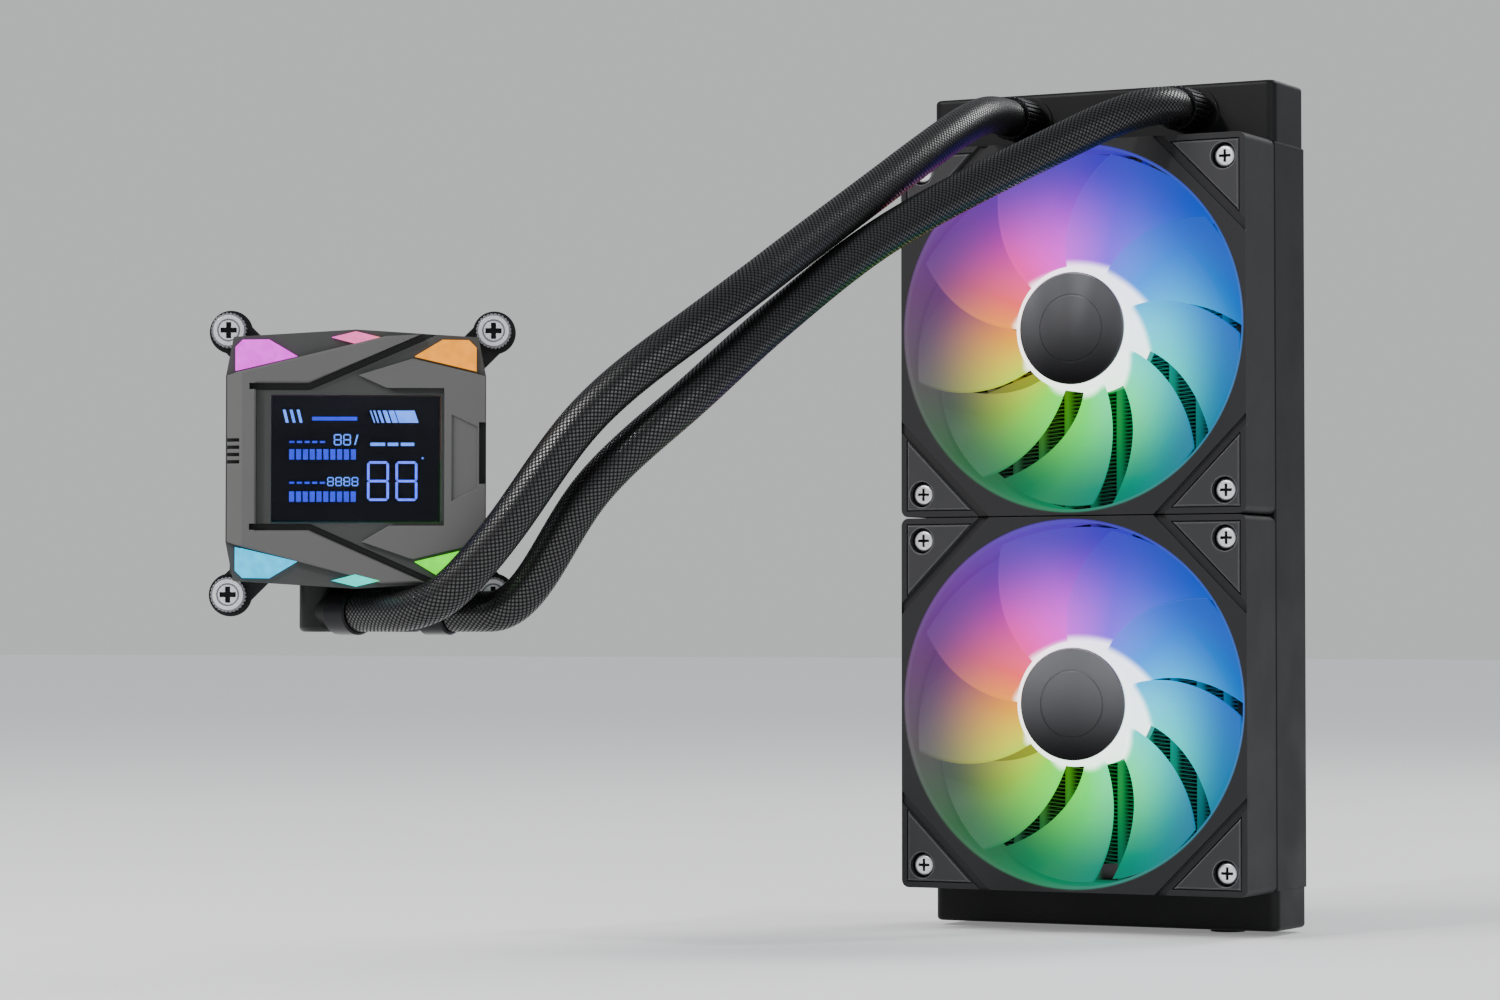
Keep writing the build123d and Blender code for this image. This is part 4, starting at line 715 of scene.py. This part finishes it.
def hose_line(side):
    """The whole centre line in metres, from the radiator's collar to the elbow's collar."""
    x = PORT_X[side]
    straight_start = np.array([x, -HOSE_START, PORT_HEIGHT]) * MM
    bend = np.array([x, -HOSE_STRAIGHT, PORT_HEIGHT]) * MM
    middle, inward = flex_point(side)
    near = np.array(middle + inward * FLEX_GAP / 2 * MM)
    far = np.array(middle - inward * FLEX_GAP / 2 * MM)
    passed = np.array(RADIATOR_SIDE[side]) * MM
    first_half = spline(np.vstack([[bend], passed, [near]]), np.array((0, -1, 0)), -np.array(inward))
    outlet = elbow_point(side, SWIVEL_REACH + SWIVEL_GAP / 2)
    outward = (outlet - elbow_point(side, 0)).normalized()
    passed = np.array([pump_point(*p) for p in PUMP_SIDE[side]])
    second_half = spline(np.vstack([[far], passed, [outlet]]), -np.array(inward), -np.array(outward))
    elbow_end = np.array(elbow_point(side, ELBOW_OUTLET))
    return np.vstack([[straight_start], first_half, second_half, [elbow_end]])


def even_spacing(line, step):
    """The same line resampled so that its points are this far apart, and how far along it each point is."""
    length = np.concatenate([[0], np.cumsum(np.linalg.norm(np.diff(line, axis=0), axis=1))])
    places = np.linspace(0, length[-1], max(2, int(length[-1] / step)))
    return np.column_stack([np.interp(places, length, line[:, axis]) for axis in range(3)]), places


def woven_tube(name, line, places):
    """A tube along a line whose surface is a two-way braid, with closed ends."""
    tangents = np.gradient(line, axis=0)
    tangents /= np.linalg.norm(tangents, axis=1)[:, None]
    side = np.cross(tangents, (0.0, 0.0, 1.0))
    side /= np.linalg.norm(side, axis=1)[:, None]
    upward = np.cross(side, tangents)
    angle = np.arange(RING_POINTS) / RING_POINTS * 2 * math.pi
    around = angle / (2 * math.pi) * STRANDS
    lead = 2 * math.pi * SLEEVE_RADIUS / STRANDS
    along = places / lead
    left = around[None, :] + along[:, None]
    right = around[None, :] - along[:, None]
    over = 0.5 + 0.5 * np.sin(math.pi * (left + right)) * np.sin(math.pi * (left - right))
    height = np.maximum(
        np.abs(np.sin(math.pi * left)) * (0.55 + 0.45 * over),
        np.abs(np.sin(math.pi * right)) * (1.0 - 0.45 * over),
    )
    radius = SLEEVE_RADIUS - WEAVE_DEPTH * (1 - height)
    sideways = np.cos(angle)[None, :, None] * side[:, None, :]
    outward = sideways + np.sin(angle)[None, :, None] * upward[:, None, :]
    points = (line[:, None, :] + outward * radius[:, :, None]).reshape(-1, 3)
    rings = len(line)
    faces = []
    for ring in range(rings - 1):
        base = ring * RING_POINTS
        for i in range(RING_POINTS):
            j = (i + 1) % RING_POINTS
            faces.append((base + i, base + j, base + RING_POINTS + j, base + RING_POINTS + i))
    faces.append(tuple(reversed(range(RING_POINTS))))
    faces.append(tuple(range((rings - 1) * RING_POINTS, rings * RING_POINTS)))
    piece = mesh_piece(name, points, faces, braid)
    layer = piece.data.uv_layers.new(name="weave")
    corners = np.zeros(len(piece.data.loops), np.int32)
    piece.data.loops.foreach_get("vertex_index", corners)
    ring_index, point_index = np.divmod(corners, RING_POINTS)
    uv_around = point_index.astype(float) / RING_POINTS * STRANDS
    quads = (rings - 1) * RING_POINTS
    wraps = np.arange(quads) % RING_POINTS == RING_POINTS - 1
    for corner in (1, 2):
        uv_around[: quads * 4].reshape(-1, 4)[wraps, corner] = STRANDS
    layer.data.foreach_set("uv", np.column_stack([uv_around, along[ring_index]]).astype(np.float32).ravel())
    return piece


def hoses():
    """Both hoses as continuous braided sleeves that bend where the CAD hoses have their gaps."""
    for side in SIDES:
        line, places = even_spacing(hose_line(side), RING_STEP)
        elbow_center = np.array(elbow_point(side, 0))
        distance = np.linalg.norm(line - elbow_center, axis=1)
        split = int(np.argmax((distance < ELBOW_SPLIT * MM) & (places > places[-1] * 0.6)))
        main = woven_tube(f"{side}_hose_sleeve", line[: split + 1], places[: split + 1])
        stub = woven_tube(f"{side}_hose_elbow_sleeve", line[split:], places[split:])
        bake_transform(main)
        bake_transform(stub)
        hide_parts(f"{side}_hose_radiator_end", f"{side}_hose_pump_end")
        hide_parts(f"{side}_hose_elbow_end", f"{side}_elbow_sleeve")
        if side == "supply":
            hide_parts("hose_sleeves_radiator_end", "hose_sleeves_pump_end")


hoses()


# ================================================================ the display's picture
PANE_HALF_WIDTH = 24.3
PANE_HALF_HEIGHT = 18.3


def prisms(name, outlines, material, bottom=MARK_BOTTOM, top=MARK_TOP):
    """Flat raised shapes on the pump head, given as lists of (u, v) points in millimetres."""
    points, faces = [], []
    for outline in outlines:
        first, count = len(points), len(outline)
        turning = sum(a[0] * b[1] - b[0] * a[1] for a, b in zip(outline, outline[1:] + outline[:1]))
        outline = outline if turning > 0 else outline[::-1]
        for w in (bottom, top):
            points += [pump_point(u, v, w) for u, v in outline]
        faces.append(tuple(reversed(range(first, first + count))))
        faces.append(tuple(range(first + count, first + 2 * count)))
        for i in range(count):
            j = (i + 1) % count
            faces.append((first + i, first + j, first + count + j, first + count + i))
    piece = mesh_piece(name, points, faces, material, smooth=False)
    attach(piece, "pump_head")
    return piece


def segment(a, b, width):
    """One bar of a seven-segment digit, from a to b, with pointed ends."""
    start, end = Vector(a), Vector(b)
    along = (end - start).normalized()
    across = Vector((-along.y, along.x)) * width / 2
    tip = along * width / 2
    start, end = start + tip * 0.4, end - tip * 0.4
    corners = [start, start + tip + across, end - tip + across, end, end - tip - across, start + tip - across]
    return [tuple(c) for c in corners]


def eight(left, top, wide, tall, width):
    """All seven bars of a digit with its upper left corner at (left, top)."""
    middle, bottom, right = top - tall / 2, top - tall, left + wide
    ends = [
        ((left, top), (right, top)),
        ((left, middle), (right, middle)),
        ((left, bottom), (right, bottom)),
        ((left, top), (left, middle)),
        ((right, top), (right, middle)),
        ((left, middle), (left, bottom)),
        ((right, middle), (right, bottom)),
    ]
    return [segment(a, b, width) for a, b in ends]


def row_of_eights(count, left, top, wide, tall, gap, width):
    """The bars of several digits side by side."""
    return [bar for i in range(count) for bar in eight(left + i * (wide + gap), top, wide, tall, width)]


def box_outline(left, right, bottom, top, lean=0.0):
    """A rectangle whose top edge may lean to the right."""
    return [(left, bottom), (right, bottom), (right + lean, top), (left + lean, top)]


def display():
    """Two large digits, two rows of small ones, two bar graphs and a strip of leaning stripes."""
    violet = glowing("display_violet", srgb(0.16, 0.22, 1.0), srgb(0.40, 0.50, 1.0), 1.5, 1.2)
    blue = glowing("display_blue", srgb(0.03, 0.08, 0.62), srgb(0.10, 0.22, 0.90), 1.0, 1.5)
    pale = glowing("display_pale_blue", srgb(0.15, 0.42, 1.0), srgb(0.45, 0.66, 1.0), 1.1, 2.5)
    large = row_of_eights(2, 3.6, -1.0, 5.6, 10.8, 2.6, 0.68)
    prisms("display_large_digits", large, violet)
    small = row_of_eights(2, -6.2, 7.0, 1.9, 2.9, 0.8, 0.34)
    small += row_of_eights(4, -8.1, -5.4, 1.6, 2.3, 0.75, 0.3)
    small += [box_outline(-0.5, -0.1, 4.1, 7.0, 0.8), box_outline(19.0, 19.5, 0.0, 0.5)]
    prisms("display_small_digits", small, pale)
    bars = []
    for top in (2.8, -9.4):
        bars += [box_outline(-19.2 + 1.97 * i, -17.75 + 1.97 * i, top - 3.0, top) for i in range(10)]
    for top in (5.2, -6.6):
        bars += [box_outline(-19.2 + 2.2 * i, -17.7 + 2.2 * i, top - 0.6, top) for i in range(5)]
    bars.append(box_outline(-12.6, 0.4, 11.1, 12.2))
    prisms("display_bar_graphs", bars, blue)
    stripes = []
    left = 5.2
    for width, gap in ((0.35, 0.65), (0.5, 0.7), (0.8, 0.65), (1.2, 0.5), (1.6, 0.3), (5.6, 0)):
        stripes.append(box_outline(left, left + width, 10.5, 14.0, -1.2))
        left += width + gap
    stripes += [box_outline(left, left + 0.8, 10.5, 14.2, -0.9) for left in (-20.2, -18.2, -16.2)]
    stripes += [box_outline(left, right, 3.8, 4.7) for left, right in ((4.2, 8.4), (9.2, 12.2), (13.0, 16.8))]
    prisms("display_stripes", stripes, pale)
    pane_outline = box_outline(-PANE_HALF_WIDTH, PANE_HALF_WIDTH, -PANE_HALF_HEIGHT, PANE_HALF_HEIGHT)
    glass = nodes["display_glass"].data.materials[0]
    pane = prisms("display_cover_glass", [pane_outline], glass, GLASS_BOTTOM, GLASS_TOP)
    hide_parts("display_glass")


display()


# ================================================================ stage, light and camera
FLOOR_REACH = 12.0
FLOOR_DROP = 0.3 * MM
LENS = 101.3
CAMERA_PLACE = (0.5413, -1.2874, -0.0364)
VIEW_AHEAD = Vector((-0.5, 0.866, 0))
VIEW_RIGHT = Vector((0.866, 0.5, 0))
AIM_RIGHT = 0.0349
AIM_UP = 0.0308
LIT_CENTER = (-0.06, -0.12, 0.0)


def stage():
    """A wide, flat, pale floor just under the object."""
    shader = Shader("pale_floor")
    cloud = shader.noise(300.0, 3.0)
    shader.set("Base Color", shader.mix(cloud, srgb(0.93, 0.93, 0.935), srgb(0.97, 0.97, 0.97)))
    shader.set("Roughness", 0.75)
    shader.glow(srgb(1, 1, 1), 0.22)
    height = cad_box[0][2] - FLOOR_DROP
    corners = [(x * FLOOR_REACH, y * FLOOR_REACH, height) for x, y in ((-1, -1), (1, -1), (1, 1), (-1, 1))]
    mesh_piece("floor", corners, [(0, 1, 2, 3)], shader.material)


def studio():
    """Soft light from all round, behind which the camera sees a plain pale backdrop."""
    world = bpy.data.worlds.new("studio")
    world.use_nodes = True
    tree = world.node_tree
    soft = tree.nodes["Background"]
    soft.inputs["Color"].default_value = (0.85, 0.88, 0.92, 1)
    soft.inputs["Strength"].default_value = 0.55
    backdrop = tree.nodes.new("ShaderNodeBackground")
    backdrop.inputs["Color"].default_value = (0.78, 0.79, 0.80, 1)
    backdrop.inputs["Strength"].default_value = 0.74
    path = tree.nodes.new("ShaderNodeLightPath")
    either = tree.nodes.new("ShaderNodeMixShader")
    tree.links.new(path.outputs["Is Camera Ray"], either.inputs[0])
    tree.links.new(soft.outputs[0], either.inputs[1])
    tree.links.new(backdrop.outputs[0], either.inputs[2])
    tree.links.new(either.outputs[0], tree.nodes["World Output"].inputs["Surface"])
    bpy.context.scene.world = world


def area_light(name, place, size, power, color=(1, 1, 1)):
    """A round soft light aimed at the middle of the object."""
    data = bpy.data.lights.new(name, "AREA")
    data.shape = "DISK"
    data.size = size
    data.energy = power
    data.color = color
    light = bpy.data.objects.new(name, data)
    light.location = place
    light.rotation_euler = (Vector(LIT_CENTER) - Vector(place)).to_track_quat("-Z", "Y").to_euler()
    bpy.context.scene.collection.objects.link(light)


def camera():
    """The photograph's viewing angle, with a lens turned a little so that the object fills the frame."""
    data = bpy.data.cameras.new("camera")
    data.sensor_width = 36.0
    data.lens = LENS
    data.clip_start = 0.05
    view = bpy.data.objects.new("camera", data)
    view.location = CAMERA_PLACE
    aim = VIEW_AHEAD + VIEW_RIGHT * AIM_RIGHT + Vector((0, 0, AIM_UP))
    view.rotation_euler = aim.to_track_quat("-Z", "Y").to_euler()
    bpy.context.scene.collection.objects.link(view)
    bpy.context.scene.camera = view


stage()
area_light("key", (-0.9, -1.3, 1.3), 0.9, 22.0, (1.0, 0.98, 0.96))
area_light("fill", (1.5, -1.1, 0.5), 1.2, 8.0, (0.95, 0.97, 1.0))
area_light("rim", (0.6, 1.2, 1.2), 0.8, 14.0)
area_light("streak", (-0.35, -1.3, 0.8), 0.1, 7.0)
studio()
camera()
